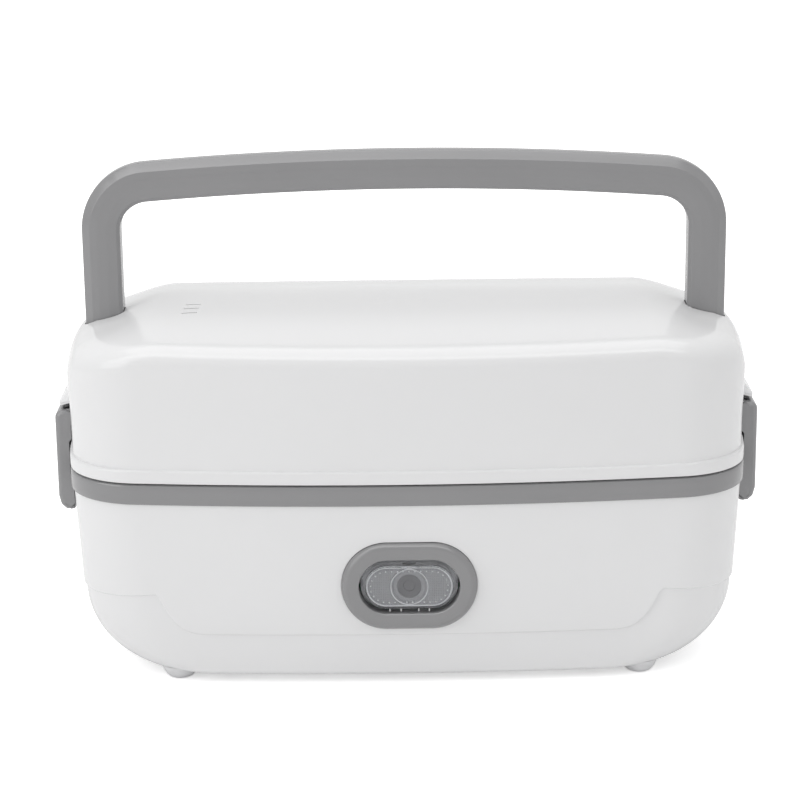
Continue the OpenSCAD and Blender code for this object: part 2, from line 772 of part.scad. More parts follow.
// ---- Power inlet in the back wall ----
inlet_w = socket_w + 9;
inlet_h = socket_h + 9;
inlet_body_w = socket_w + 3.4;
inlet_body_h = socket_h + 3.4;
inlet_z = floor_z + 32;
inlet_back_y = -bezel_front_y;
inlet_seat_y = inlet_back_y - bezel_t;
SOCKET_FLOOR = 2;
inlet_end_y = inlet_back_y - socket_depth - SOCKET_FLOOR;
BLADE_W = 2;
BLADE_H = 4;
BLADE_TAIL = 1;
BLADE_LEN = 9.5;

module socket_shape() {
    w = socket_w / 2;
    h = socket_h / 2;
    polygon([[-w, -h], [w, -h], [w, h - 5], [w - 5, h], [5 - w, h], [-w, h - 5]]);
}

module power_inlet() {
    color([0.16, 0.16, 0.17]) difference() {
        union() {
            from_back(inlet_seat_y, inlet_z) linear_extrude(bezel_t) polygon(box_line(inlet_w, inlet_h, 4));
            from_back(inlet_end_y, inlet_z) linear_extrude(inlet_seat_y - inlet_end_y + EPS)
                polygon(box_line(inlet_body_w, inlet_body_h, 2));
        }
        from_back(inlet_back_y - socket_depth, inlet_z) linear_extrude(socket_depth + 1) socket_shape();
        at_blades() translate([-BLADE_W / 2, -BLADE_H / 2, -5]) cube([BLADE_W, BLADE_H, 10]);
    }
}

module at_blades() {
    for (p = [[-7, -1.5], [0, 2.5], [7, -1.5]])
        from_back(inlet_back_y - socket_depth, inlet_z) translate([p[0], p[1], 0]) children();
}

module inlet_blades() {
    color([0.8, 0.78, 0.7]) at_blades()
        translate([-BLADE_W / 2, -BLADE_H / 2, -SOCKET_FLOOR - BLADE_TAIL])
            cube([BLADE_W, BLADE_H, BLADE_LEN + SOCKET_FLOOR + BLADE_TAIL]);
}

// ---- Wires between the inlet, the heater and the switch ----
WIRE_D = 1.8;
WIRE_SIDES = 8;
blade_end_y = inlet_end_y - BLADE_TAIL;
wire_z = floor_z + 6.5;

function mix(a, b, t) = a + (b - a) * t;
// Points on a smooth curve through the way points
function curve_at(p, i, t) =
    let (
        a = p[max(i - 1, 0)], b = p[i], c = p[i + 1], d = p[min(i + 2, len(p) - 1)]
    ) b + 0.5 * t * ((c - a) + t * ((2 * a - 5 * b + 4 * c - d) + t * (3 * (b - c) + d - a)));

module wire(path) {
    steps = 4;
    pts = concat([for (i = [0:len(path) - 2]) for (s = [0:steps - 1]) curve_at(path, i, s / steps)],
                 [path[len(path) - 1]]);
    n = len(pts);
    loft([for (i = [0:n - 1]) let (
            d = pts[min(i + 1, n - 1)] - pts[max(i - 1, 0)],
            w = d / norm(d),
            u = cross(w, [0.3, 0.2, 1]) / norm(cross(w, [0.3, 0.2, 1])),
            v = cross(w, u)
        ) [for (k = [0:WIRE_SIDES - 1]) let (a = -360 * k / WIRE_SIDES)
            pts[i] + WIRE_D / 2 * (cos(a) * u - sin(a) * v)]]);
}

bay_y = pan_hd - 5;
tap_z = terminal_z + 1;
fuse_z = pan_floor_z - FUSE_D / 2;

module live_wire() {
    end_x = THERMO_X + TERMINAL_X;
    color([0.5, 0.3, 0.2]) wire([
        [7, blade_end_y - 0.6, inlet_z - 1.5], [7, blade_end_y - 1.5, inlet_z - 2.6],
        [7.5, blade_end_y - 1.6, inlet_z - 6], [10, blade_end_y - 2, inlet_z - 14], [20, bay_y, wire_z + 4],
        [end_x - 16, bay_y - 11, wire_z], [end_x, 12, wire_z], [end_x, 3, tap_z - 0.3],
        [end_x, 0.9, tap_z]]);
}

module neutral_wire() {
    color([0.25, 0.4, 0.7]) wire([
        [-7, blade_end_y - 0.6, inlet_z - 1.5], [-7, blade_end_y - 1.5, inlet_z - 2.6],
        [-7.5, blade_end_y - 1.6, inlet_z - 6], [-10, blade_end_y - 2, inlet_z - 14],
        [-22, bay_y, wire_z + 4], [12 - THERMO_X, bay_y - 7, wire_z],
        [1 - THERMO_X, FUSE_L / 2 + 10, fuse_z - 3.5],
        [-THERMO_X, FUSE_L / 2 + 4, fuse_z], [-THERMO_X, FUSE_L / 2 + 0.3, fuse_z]]);
}

module switch_wire() {
    back_y = board_y + BOARD_T;
    end_x = THERMO_X - TERMINAL_X;
    color([0.75, 0.25, 0.22]) wire([
        [6, back_y + 0.6, button_mid_z - 9], [6, back_y + 1.5, button_mid_z - 10.1],
        [6.5, back_y + 1.6, button_mid_z - 13], [9, back_y + 3, button_mid_z - 20],
        [20, 1 - bay_y, wire_z + 1],
        [end_x - 12, -20, wire_z], [end_x, -12, wire_z], [end_x, -3, tap_z - 0.3], [end_x, -0.9, tap_z]]);
}

// ---- Lid ----
LID_TOP_CORNER = 28;
FILLET_FRONT = [6.6, 5.3];
FILLET_END = [9, 10.6];
CORNER_Y0 = 5;
CORNER_RUN = 20;
ledge_x0 = ledge_x - ledge_run;
lid_hw = body_w / 2 - wall_inset;
lid_hd = body_d / 2 - wall_inset;

function smooth(t) = let (u = min(max(t, 0), 1)) u * u * (3 - 2 * u);

// Height of the top of the lid over a point of the plan
function lid_top(x, y) =
    let (
        e = abs(y) / (lid_hd - 5),
        drop = ledge_fall + corner_fall * smooth((abs(y) - CORNER_Y0) / CORNER_RUN)
    ) crown_z - crown_fall * e * e - drop * smooth((abs(x) - ledge_x0) / ledge_run);

function lid_line(t) = outline(lid_hw - t, lid_hd - t, front_bow_r - t, end_bow_r - t, LID_TOP_CORNER - t);
function end_share(p) = pow(abs(p[2]), 6);
function fillet_in(p) = mix(FILLET_FRONT[0], FILLET_END[0], end_share(p));
function fillet_up(p) = mix(FILLET_FRONT[1], FILLET_END[1], end_share(p));
function step_in(p, d) = [p[0] - p[2] * d, p[1] - p[3] * d];

// One ring of the edge fillet, a is 0 at the wall and 90 at the top
function fillet_ring(line, a, t) = [for (p = line) let (
        q = step_in(p, fillet_in(p) * (1 - cos(a)))
    ) [q[0], q[1], lid_top(q[0], q[1]) - t - fillet_up(p) * (1 - sin(a))]];

// One ring of the top, s runs from the fillet towards the middle
function top_ring(line, s, t, level) = [for (p = line) let (
        e = step_in(p, fillet_in(p)),
        x = e[0] * (1 - 0.45 * s),
        y = e[1] * (1 - s)
    ) [x, y, level ? crown_z - t - 0.05 : lid_top(x, y) - t]];

module lid_form(t, z0, fine) {
    line = lid_line(t);
    angles = fine ? [0, 25, 50, 75] : [0, 30, 60];
    shares = fine ? [0, 0.06, 0.12, 0.18, 0.24, 0.3, 0.36, 0.5, 0.7] : [0, 0.12, 0.24, 0.36, 0.6];
    loft(concat(
        [lift(line, z0)],
        [for (a = angles) fillet_ring(line, a, t)],
        [for (s = shares) top_ring(line, s, t, false)],
        [top_ring(line, 0.9, t, true)]
    ));
}

guide_z1 = crown_z - 14.8;
guide_z0 = lip_z + 0.5;
leg_z0 = guide_z1 - 2.5;
GUIDE_BORE_H = 2;
STOP_T = 2;
stop_d = handle_d + 4.4;
EAR_X = leg_x - 10.8;
EAR_Y = 11.5;
BOSS_D = 6;

LINER_IN = 4;
liner_hw = dish_hw - LINER_IN;
liner_hd = dish_hd - LINER_IN;
LINER_X = liner_hw - 18;
LINER_Y = liner_hd - 14;
liner_z = crown_z - 11.9;
LINER_T = 1.5;
LINER_CORNER = 24;

module lid_shell() {
    color(WHITE) difference() {
        union() {
            difference() {
                union() {
                    lid_form(0, lid_z0, true);
                    rim_prism(lid_z0, lip_z - 0.8, 0);
                    rim_prism(lip_z - 0.8, lip_z, 0.4);
                }
                difference() {
                    lid_form(lid_t, lid_z0 - 1, false);
                    // Thicker foot of the wall, which holds the seal
                    difference() {
                        rim_prism(lid_z0 - 2, lip_z, -5);
                        rim_prism(lid_z0 - 3, lip_z + 1, LIP_T);
                    }
                    both_ends() translate([body_w / 2 - 4.5, -latch_w / 2 - 3, pin_z - 6])
                        cube([10, latch_w + 6, 12]);
                }
                latch_pockets();
            }
            both_ends() latch_ears();
            // Bosses under the crown for the liner and the handle guides
            at_liner_screws() boss(LINER_X, LINER_Y, liner_z + LINER_T);
            at_guide_screws() boss(EAR_X, EAR_Y, guide_z1);
        }
        both_ends() translate([leg_x, 0, 0]) rounded_box(handle_w + 2 * slide_gap,
            handle_d + 2 * slide_gap, handle_edge_r + slide_gap, guide_z1 - 2, crown_z + 5);
        gasket_ring(0.05);
        for (i = [-1, 0, 1]) translate([-vent_x - VENT_SHIFT * i, -vent_y - vent_pitch * i, crown_z - 8])
            rotate([0, 0, VENT_TURN]) linear_extrude(20) stadium(vent_slot_l, vent_slot_w);
        both_ends() translate([pin_x, 0, pin_z]) rotate([90, 0, 0])
            cylinder(d = pin_d, h = 2 * EAR_OUT + 1, center = true);
        at_liner_screws() translate([0, 0, liner_z]) cylinder(d = 2.2, h = 6);
        at_guide_screws() translate([0, 0, guide_z1 - 1]) cylinder(d = 2.2, h = 6);
    }
}

module boss(x, y, z0) {
    translate([0, 0, z0]) cylinder(d = BOSS_D, h = lid_top(x, y) - lid_t / 2 - z0);
}

module at_liner_screws() {
    for (x = [-LINER_X, LINER_X]) for (y = [-LINER_Y, LINER_Y]) translate([x, y, 0]) children();
}

module at_guide_screws() {
    for (x = [-EAR_X, EAR_X]) for (s = [-1, 1]) translate([x, s * EAR_Y, 0]) children();
}

module lid_liner() {
    color([0.9, 0.9, 0.9]) difference() {
        union() {
            dish_prism(liner_hw, liner_hd, liner_z, liner_z + LINER_T, LINER_CORNER);
            difference() {
                dish_prism(liner_hw, liner_hd, liner_z, liner_z + 2 * LINER_T, LINER_CORNER);
                dish_prism(liner_hw - LINER_T, liner_hd - LINER_T, liner_z - 1, liner_z + 4,
                           LINER_CORNER - LINER_T);
            }
        }
        at_liner_screws() translate([0, 0, liner_z - 1]) cylinder(d = 2.6, h = 4);
        for (x = [-20, 0, 20]) translate([x, 0, liner_z - 1]) cylinder(d = 4, h = 4);
    }
}

module liner_screws() {
    color(STEEL) at_liner_screws() translate([0, 0, liner_z - 1.4]) screw(4.6, 1.4, 2.2, 5);
}

LIP_T = 4.6;
module gasket_ring(gap) {
    difference() {
        rim_prism(lid_z0 - 0.2 - gap, lid_z0 + 2.4 + gap, 1.6 - gap);
        rim_prism(lid_z0 - 1, lid_z0 + 4, 3.8 + gap);
    }
}

module lid_gasket() {
    color([0.75, 0.75, 0.74]) gasket_ring(0);
}

VENT_D = 18;
VENT_SHIFT = 0.4;
VENT_TURN = 8;
module vent_insert() {
    color([0.9, 0.9, 0.9]) translate([-vent_x, -vent_y, liner_z + LINER_T]) difference() {
        cylinder(d = VENT_D, h = 4);
        translate([0, 0, 1.2]) cylinder(d = VENT_D - 3, h = 4);
        for (a = [0:60:300]) rotate([0, 0, a]) translate([5, 0, -1]) cylinder(d = 2.4, h = 4);
    }
}

// A guide is a closed channel with a wide shaft for the stop and a snug mouth at its top
module handle_guide() {
    w = handle_w + 2 * slide_gap;
    shaft_d = stop_d + 2 * slide_gap;
    translate([leg_x, 0, 0]) difference() {
        union() {
            translate([-w / 2 - GUIDE_WALL, -shaft_d / 2 - GUIDE_WALL, guide_z0])
                cube([w + GUIDE_WALL + GUIDE_OUTER_WALL, shaft_d + 2 * GUIDE_WALL, guide_z1 - guide_z0]);
            translate([EAR_X - leg_x - 4, -EAR_Y - 4, guide_z1 - 2]) cube([8, 2 * EAR_Y + 8, 2]);
        }
        rounded_box(w, handle_d + 2 * slide_gap, handle_edge_r + slide_gap, guide_z0 - 1, guide_z1 + 1);
        translate([-w / 2, -shaft_d / 2, guide_z0 - 1])
            cube([w, shaft_d, guide_z1 - GUIDE_BORE_H - guide_z0 + 1]);
        for (s = [-1, 1]) translate([EAR_X - leg_x, s * EAR_Y, guide_z1 - 3]) cylinder(d = 2.6, h = 4);
    }
}

module handle_guide_right() {
    color([0.85, 0.85, 0.85]) handle_guide();
}

module handle_guide_left() {
    color([0.85, 0.85, 0.85]) mirror([1, 0, 0]) handle_guide();
}

module guide_screws() {
    color(STEEL) at_guide_screws() translate([0, 0, guide_z1 - 3.4]) screw(4.4, 1.4, 2.2, 5.6);
}

// ---- Handle: one bar with a constant section ----
crown_centre_z = crown_z + grip_gap + handle_w / 2 - bar_bow_r;
bend_x = leg_x - bend_r;
bend_z = crown_centre_z + sqrt(pow(bar_bow_r - bend_r, 2) - bend_x * bend_x);
bow_angle = asin(bend_x / (bar_bow_r - bend_r));

// Centre line as [x, z, angle of the outward normal]
function handle_half() = concat(
    [[leg_x, leg_z0, 0], [leg_x, bend_z, 0]],
    [for (i = [1:7]) let (a = (90 - bow_angle) * i / 7)
        [bend_x + bend_r * cos(a), bend_z + bend_r * sin(a), a]],
    [for (i = [1:4]) let (a = 90 - bow_angle * (1 - i / 5))
        [bar_bow_r * cos(a), crown_centre_z + bar_bow_r * sin(a), a]],
    [[0, crown_centre_z + bar_bow_r, 90]]
);

function handle_path() = let (h = handle_half(), n = len(h))
    concat(h, [for (i = [n - 2:-1:0]) [-h[i][0], h[i][1], 180 - h[i][2]]]);

module handle() {
    section = box_line(handle_w, handle_d, handle_edge_r, 3);
    color(GREY) difference() {
        loft([for (p = handle_path()) [for (s = section)
            [p[0] + s[0] * cos(p[2]), s[1], p[1] + s[0] * sin(p[2])]]]);
        both_ends() translate([leg_x, 0, leg_z0 - 1]) cylinder(d = 2.5, h = 9);
    }
}

module handle_stops() {
    color([0.85, 0.85, 0.85]) both_ends() translate([leg_x, 0, leg_z0 - STOP_T]) difference() {
        translate([-handle_w / 2, -stop_d / 2, 0]) cube([handle_w, stop_d, STOP_T - EPS]);
        translate([0, 0, -1]) cylinder(d = 2.9, h = 4);
        translate([0, 0, -1]) cylinder(d = 5.4, h = 2);
    }
}

module stop_screws() {
    color(STEEL) both_ends() translate([leg_x, 0, leg_z0 - STOP_T]) screw(5, 1, 2.5, 7);
}

// ---- Latches ----
// Drawn for the right end; the pin axis runs along Y
EAR_T = 3;
EAR_OUT = 12;
EAR_R = 2.1;
FAIRING_W = 26;
PIN_SKIN = 0.6;
latch_face = body_w / 2 + latch_out;
pin_x = latch_face - latch_t - EAR_R - slide_gap;
pin_z = lid_z0 + 12.8;
latch_z1 = pin_z + 3.2;
latch_z0 = latch_z1 - latch_h;
latch_in = body_w / 2 + 0.3;
POCKET_R = 4.3;
SWEEP_R = 4.6;

module latch_pockets() {
    both_ends() translate([pin_x, 0, pin_z]) rotate([90, 0, 0])
        cylinder(r = POCKET_R, h = latch_w + 1.2, center = true);
}

// The ears that carry the pin, under a small hood that fairs into the end of the lid
module latch_ears() {
    wall_x = pin_x - POCKET_R - 0.4;
    for (s = [-1, 1]) translate([0, s * (EAR_OUT - EAR_T / 2), 0]) rotate([90, 0, 0])
        linear_extrude(EAR_T, center = true) {
            translate([pin_x, pin_z]) circle(r = EAR_R);
            polygon([[wall_x, pin_z], [wall_x, pin_z - 4.5], [lid_hw + 0.1, pin_z - 3.5],
                     [pin_x, pin_z - EAR_R], [pin_x, pin_z]]);
        }
    difference() {
        rotate([90, 0, 0]) linear_extrude(FAIRING_W, center = true)
            polygon([[wall_x, pin_z + 2], [pin_x, pin_z + 4.7], [latch_face - 0.5, pin_z + 3.7],
                     [latch_face - 0.6, pin_z + 4.1], [lid_hw + 0.1, pin_z + 10.2], [wall_x, pin_z + 10.8]]);
        translate([pin_x, 0, pin_z]) rotate([90, 0, 0])
            cylinder(r = SWEEP_R, h = FAIRING_W + 1, center = true);
    }
}

module latch_body() {
    bore = pin_d + 2 * pin_play;
    corner = 2.8;
    rotate([90, 0, 0]) difference() {
        union() {
            // Outer wall with a rounded top and a turned-in finger edge
            linear_extrude(latch_w, center = true) difference() {
                union() {
                    translate([latch_face - latch_t, latch_z0 + 4]) square([latch_t, latch_h - 4 - corner]);
                    translate([latch_face - corner, latch_z1 - corner]) intersection() {
                        circle(r = corner);
                        square(corner);
                    }
                    translate([pin_x, latch_z1 - corner])
                        square([latch_face - corner - pin_x + EPS, corner]);
                    polygon([[latch_face - latch_t, latch_z0 + 5], [latch_face, latch_z0 + 4],
                             [latch_face - 1.2, latch_z0 + 1.2], [latch_face - 3, latch_z0],
                             [latch_face - 4.4, latch_z0], [latch_face - 4.2, latch_z0 + 1.6]]);
                }
                translate([pin_x, pin_z]) circle(r = EAR_R + slide_gap);
            }
            // Side walls that carry the pin
            for (s = [-1, 1]) translate([0, 0, s * (latch_w - latch_t) / 2])
                    linear_extrude(latch_t, center = true) {
                intersection() {
                    translate([pin_x, pin_z]) circle(r = latch_z1 - pin_z);
                    translate([pin_x - 5, pin_z - 0.01]) square([5, 5]);
                }
                translate([pin_x - EPS, pin_z - 1])
                    square([latch_face - corner - pin_x + EPS, latch_z1 - pin_z + 1]);
                polygon([[latch_in, pin_z - 2.4], [pin_x - latch_z1 + pin_z, pin_z], [latch_face - 1, pin_z],
                         [latch_face - 1, latch_z0 + 4], [latch_face - 3.4, latch_z0 + 0.4],
                         [latch_in + 0.6, latch_z0 + 0.4], [latch_in, latch_z0 + 6]]);
            }
            // Hook under the catch
            linear_extrude(CATCH_W - 1, center = true)
                polygon([[latch_face - latch_t + 0.5, band_z0 - slide_gap],
                         [latch_in + 0.7, band_z0 - slide_gap], [latch_in + 0.7, band_z0 - 1.4],
                         [latch_face - latch_t + 0.5, band_z0 - 4.2]]);
        }
        // The pin's bore stops short of the front cheek's outer face
        translate([pin_x, pin_z, -latch_w / 2 - 1]) cylinder(d = bore, h = latch_w + 1 - PIN_SKIN);
    }
}

module latch_right() {
    color(GREY) latch_body();
}

module latch_left() {
    color(GREY) mirror([1, 0, 0]) latch_body();
}

module latch_pin() {
    translate([pin_x, latch_w / 2 - slide_gap, pin_z]) rotate([90, 0, 0])
        cylinder(d = pin_d, h = latch_w - PIN_SKIN - 2 * slide_gap);
}

module latch_pin_right() {
    color(STEEL) latch_pin();
}

module latch_pin_left() {
    color(STEEL) mirror([1, 0, 0]) latch_pin();
}

bottom_cover();
base_shell();
rim_ring();
feet();
base_screws();
pan_gasket();
water_pan();
heating_plate();
ptc_heater();
heater_clamp();
clamp_screws();
thermostat();
thermal_fuse();
button_bezel();
button_cap();
button_carrier();
button_spring();
switch_board();
tact_switch();
switch_plunger();
lamp_reflector();
indicator_lamp();
board_screws();
power_inlet();
inlet_blades();
live_wire();
neutral_wire();
switch_wire();
food_pot();
pot_gasket();
pot_lid();
upper_dish();
dish_cover();
lid_shell();
lid_liner();
liner_screws();
lid_gasket();
vent_insert();
handle_guide_left();
handle_guide_right();
guide_screws();
latch_pin_left();
latch_pin_right();
handle();
handle_stops();
stop_screws();
latch_left();
latch_right();
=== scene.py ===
# %% [markdown]
# # Electric lunch box
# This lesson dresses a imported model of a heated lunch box: a white base with a grey band, a lift-off lid
# with a carrying handle, two end latches and a clear push button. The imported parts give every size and
# every motion. Here each visible part gets smooth surfaces and a finish, and rides on the body that
# moves it.

# %% Load the frame
import json
import math

import bmesh
import bpy
import numpy as np
from mathutils import Matrix, Vector


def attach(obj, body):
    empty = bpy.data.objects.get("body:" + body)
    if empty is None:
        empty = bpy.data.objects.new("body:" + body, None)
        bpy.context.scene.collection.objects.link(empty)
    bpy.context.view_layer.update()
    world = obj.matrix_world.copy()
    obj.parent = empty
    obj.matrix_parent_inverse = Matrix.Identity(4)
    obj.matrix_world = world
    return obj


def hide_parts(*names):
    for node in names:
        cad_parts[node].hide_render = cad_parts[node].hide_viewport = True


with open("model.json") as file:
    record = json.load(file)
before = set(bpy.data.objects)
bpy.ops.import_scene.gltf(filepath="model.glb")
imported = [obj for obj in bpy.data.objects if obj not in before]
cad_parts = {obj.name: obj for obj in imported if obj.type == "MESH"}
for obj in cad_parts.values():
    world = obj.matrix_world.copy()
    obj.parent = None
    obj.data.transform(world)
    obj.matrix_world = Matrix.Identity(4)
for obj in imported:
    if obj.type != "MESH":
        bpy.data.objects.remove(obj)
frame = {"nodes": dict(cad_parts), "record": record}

scene = bpy.context.scene
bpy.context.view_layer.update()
MM = 0.001

# %% [markdown]
# ## Camera
# A product shot of a box this size is taken with a long lens from about 0.9 m, a little above the lid.
# The camera could be aimed with a Track To constraint. A matrix built from three directions is used
# instead, because it also holds the small roll of a hand-levelled tripod.

# %% Camera
CAMERA_AT = np.array([-6.485, -863.424, 323.884]) * MM
LOOK_AT = np.array([0.0, 0.0, 70.0]) * MM
CAMERA_ROLL = -0.010727
LENS_MM = 113.6


def unit(v):
    """A vector divided by its length."""
    return v / np.linalg.norm(v)


def add_object(name, data):
    """A new object in the scene for a camera, a lamp or a mesh."""
    made = bpy.data.objects.new(name, data)
    scene.collection.objects.link(made)
    return made


forward = unit(LOOK_AT - CAMERA_AT)
level = unit(np.cross(forward, [0, 0, 1]))
upright = np.cross(level, forward)
right = math.cos(CAMERA_ROLL) * level + math.sin(CAMERA_ROLL) * upright
up = math.cos(CAMERA_ROLL) * upright - math.sin(CAMERA_ROLL) * level
camera_data = bpy.data.cameras.new("camera")
camera_data.lens = LENS_MM
camera_data.sensor_width = 36
camera_data.shift_x = -0.0083
camera_data.shift_y = 0.0536
camera_data.clip_end = 20
camera = add_object("camera", camera_data)
axes_and_place = np.column_stack([right, up, -forward, CAMERA_AT])
camera.matrix_world = Matrix([[*row] for row in axes_and_place] + [[0, 0, 0, 1]])
scene.camera = camera
print("camera", [round(v, 3) for v in CAMERA_AT], "lens", LENS_MM)

# %% [markdown]
# ## Materials
# The box has few finishes: glossy white plastic, satin grey plastic, clear plastic, steel and rubber.
# One helper wires the same small graph for all of them: a slow noise that shifts the colour a little, as
# a moulding does from spot to spot, and a fine noise for the grain that the tool leaves in the surface.
# Object coordinates are metres here, so a noise scale of 1000 gives a grain of about a millimetre.

# %% Node helpers
view = scene.view_settings
view.view_transform = "Standard"


def new_material(name):
    """An empty node material, its Principled shader and its texture coordinates."""
    made = bpy.data.materials.new(name)
    made.use_nodes = True
    tree = made.node_tree
    shader = tree.nodes["Principled BSDF"]
    place = tree.nodes.new("ShaderNodeTexCoord")
    return made, tree, shader, place.outputs["Object"]


def add_node(tree, kind, values):
    """A new node. A value that is a socket is linked, and any other is set on the node's own socket."""
    node = tree.nodes.new("ShaderNode" + kind)
    for key, value in values.items():
        if isinstance(value, bpy.types.NodeSocket):
            tree.links.new(value, node.inputs[key])
        else:
            node.inputs[key].default_value = value
    return node


def noise(tree, place, scale, detail=3.0, stretch=None):
    """Smooth noise of that many waves a metre, stretched along an axis if asked."""
    if stretch is not None:
        place = add_node(tree, "Mapping", {"Vector": place, "Scale": stretch}).outputs["Vector"]
    return add_node(tree, "TexNoise", {"Vector": place, "Scale": scale, "Detail": detail}).outputs["Fac"]


def spread(tree, value, low, high, start=0.3, stop=0.7):
    """Maps a value from one range to another. The first range is where noise mostly lies."""
    ends = {"From Min": start, "From Max": stop, "To Min": low, "To Max": high}
    return add_node(tree, "MapRange", {"Value": value, **ends}).outputs["Result"]


SHARE_IN, COLOUR_A, COLOUR_B, COLOUR_OUT = 0, 6, 7, 2    # a Mix node has sockets for each kind of value


def tint(tree, value, dark, light):
    """A colour between two, chosen by a value."""
    node = add_node(tree, "Mix", {SHARE_IN: value, COLOUR_A: (*dark, 1), COLOUR_B: (*light, 1)})
    node.data_type = "RGBA"
    return node.outputs[COLOUR_OUT]


def grain(tree, shader, heights, strength, depth):
    """Bump from a height value; depth is in metres."""
    node = add_node(tree, "Bump", {"Strength": strength, "Distance": depth, "Height": heights})
    tree.links.new(node.outputs["Normal"], shader.inputs["Normal"])


# %% Finishes
finishes = {}


def finish(slot, colour, rough, shade=0.03, slow=30, fine=1500, bump=0.1, depth=0.00002, vary=0.05,
           stretch=None, **sockets):
    """A moulded, drawn or turned finish: slow mottle in the colour, fine grain in roughness and bump."""
    made, tree, shader, place = new_material(slot)
    mottle = noise(tree, place, slow)
    fine_grain = noise(tree, place, fine, 2.0, stretch)
    dark = [c * (1 - shade) for c in colour]
    light = [min(c * (1 + shade), 1) for c in colour]
    tree.links.new(tint(tree, spread(tree, mottle, 0, 1), dark, light), shader.inputs["Base Color"])
    tree.links.new(spread(tree, fine_grain, rough - vary, rough + vary), shader.inputs["Roughness"])
    grain(tree, shader, fine_grain, bump, depth)
    for socket, value in sockets.items():
        shader.inputs[socket.replace("_", " ")].default_value = value
    finishes[slot] = made


WHITE = (0.83, 0.83, 0.835)
GREY = (0.262, 0.261, 0.266)
finish("white_plastic", WHITE, 0.14, shade=0.008, slow=14, fine=240, bump=0.05, depth=0.000004, vary=0.01)
finish("grey_plastic", GREY, 0.2, shade=0.02, slow=22, fine=900, bump=0.05, depth=0.000004, vary=0.02,
       Specular_IOR_Level=0.8)
finish("steel", (0.62, 0.62, 0.63), 0.26, fine=260, stretch=(1, 14, 14), bump=0.12, Metallic=1.0)
finish("screw_steel", (0.55, 0.55, 0.57), 0.3, fine=900, Metallic=1.0)
finish("silicone", (0.66, 0.66, 0.64), 0.5, fine=900)
finish("foot_rubber", (0.74, 0.74, 0.75), 0.55, fine=1800, bump=0.2)
finish("cast_aluminium", (0.66, 0.67, 0.69), 0.42, fine=1200, bump=0.3, Metallic=1.0)
finish("black_plastic", (0.028, 0.028, 0.03), 0.4, fine=2600, bump=0.2)
finish("fuse_ceramic", (0.75, 0.72, 0.62), 0.6, fine=1600)
finish("inner_plastic", (0.72, 0.72, 0.72), 0.42, fine=1800)
finish("board_green", (0.03, 0.16, 0.07), 0.3, fine=700)
finish("lamp_smoke", (0.08, 0.075, 0.08), 0.12, fine=500, IOR=1.5)
finish("blade_metal", (0.72, 0.66, 0.48), 0.25, fine=900, Metallic=1.0)
finish("wire_brown", (0.16, 0.07, 0.035), 0.45)
finish("wire_blue", (0.04, 0.11, 0.42), 0.45)
finish("wire_red", (0.46, 0.04, 0.035), 0.45)
finish("vessel_white", (0.8, 0.8, 0.79), 0.3, fine=500, bump=0.05)
finish("vessel_clear", (0.86, 0.9, 0.93), 0.16, fine=400, bump=0.05, IOR=1.49, Transmission_Weight=0.75)
finish("clear_plastic", (0.9, 0.91, 0.93), 0.05, shade=0.01, fine=300, bump=0.02, depth=0.000004, vary=0.01,
       IOR=1.49, Transmission_Weight=1.0)
for part in frame["record"]["subparts"]:
    for holder in frame["nodes"][part["node"]].material_slots:
        holder.material = finishes[part["material_slot"]]
print("finishes:", len(finishes))

# %% [markdown]
# ## Floor, backdrop and light
# A white sweep is lit by large soft panels, so the box shows soft gradients and no hard shadow. The
# floor takes the shadow of the box; what the camera sees behind it is plain white, which comes from the
# world's colour and a small glow of the floor, never from more light on the box. Reflections see that
# white only in part, because a mirror image of pure white would bleach the edges of the glossy lid. One
# more card shows in reflections alone and draws a light strip along the handle.

# %% What each ray sees
def calculate(tree, operation, first, second):
    """The result of a Math node on two values."""
    node = add_node(tree, "Math", {0: first, 1: second})
    node.operation = operation
    return node.outputs["Value"]


def seen_directly(tree, mirrored_share):
    """1 for camera and transmission rays, a share for glossy rays, 0 for the rays that light the box."""
    path = tree.nodes.new("ShaderNodeLightPath").outputs
    glossy = spread(tree, path["Is Glossy Ray"], 0, mirrored_share, 0, 1)
    seen = calculate(tree, "MAXIMUM", path["Is Camera Ray"], glossy)
    return calculate(tree, "MAXIMUM", seen, path["Is Transmission Ray"])


# %% White world
AMBIENT, SKY_MIRRORED = 0.66, 0.45
world = bpy.data.worlds.new("white_studio")
world.use_nodes = True
scene.world = world
sky = world.node_tree.nodes["Background"]
sky.inputs["Color"].default_value = (1, 1, 1, 1)
sky_level = spread(world.node_tree, seen_directly(world.node_tree, SKY_MIRRORED), AMBIENT, 1, 0, 1)
world.node_tree.links.new(sky_level, sky.inputs["Strength"])
print("light of the world:", AMBIENT, "in reflections:", round(AMBIENT + (1 - AMBIENT) * SKY_MIRRORED, 2))

# %% Floor
FLOOR_HALF, FLOOR_MIRRORED = 4.0, 0.1
GLOW_NEAR, GLOW_FAR = 0.5, 0.9
GLOW_FROM, GLOW_TO = 0.16, 0.7    # metres from the middle of the floor
PAPER_DARK, PAPER_LIGHT = (0.94, 0.94, 0.94), (0.96, 0.96, 0.96)
floor_corners = [(x * FLOOR_HALF, y * FLOOR_HALF, 0) for x, y in ((-1, -1), (1, -1), (1, 1), (-1, 1))]
floor_mesh = bpy.data.meshes.new("floor")
floor_mesh.from_pydata(floor_corners, [], [(0, 1, 2, 3)])
floor = add_object("floor", floor_mesh)
paper, tree, shader, place = new_material("paper_sweep")
shader.inputs["Roughness"].default_value = 0.9
shader.inputs["Specular IOR Level"].default_value = 0.1
fibre = noise(tree, place, 60)
tree.links.new(tint(tree, fibre, PAPER_DARK, PAPER_LIGHT), shader.inputs["Base Color"])
shader.inputs["Emission Color"].default_value = (1, 1, 1, 1)
distance = add_node(tree, "VectorMath", {0: place})
distance.operation = "LENGTH"
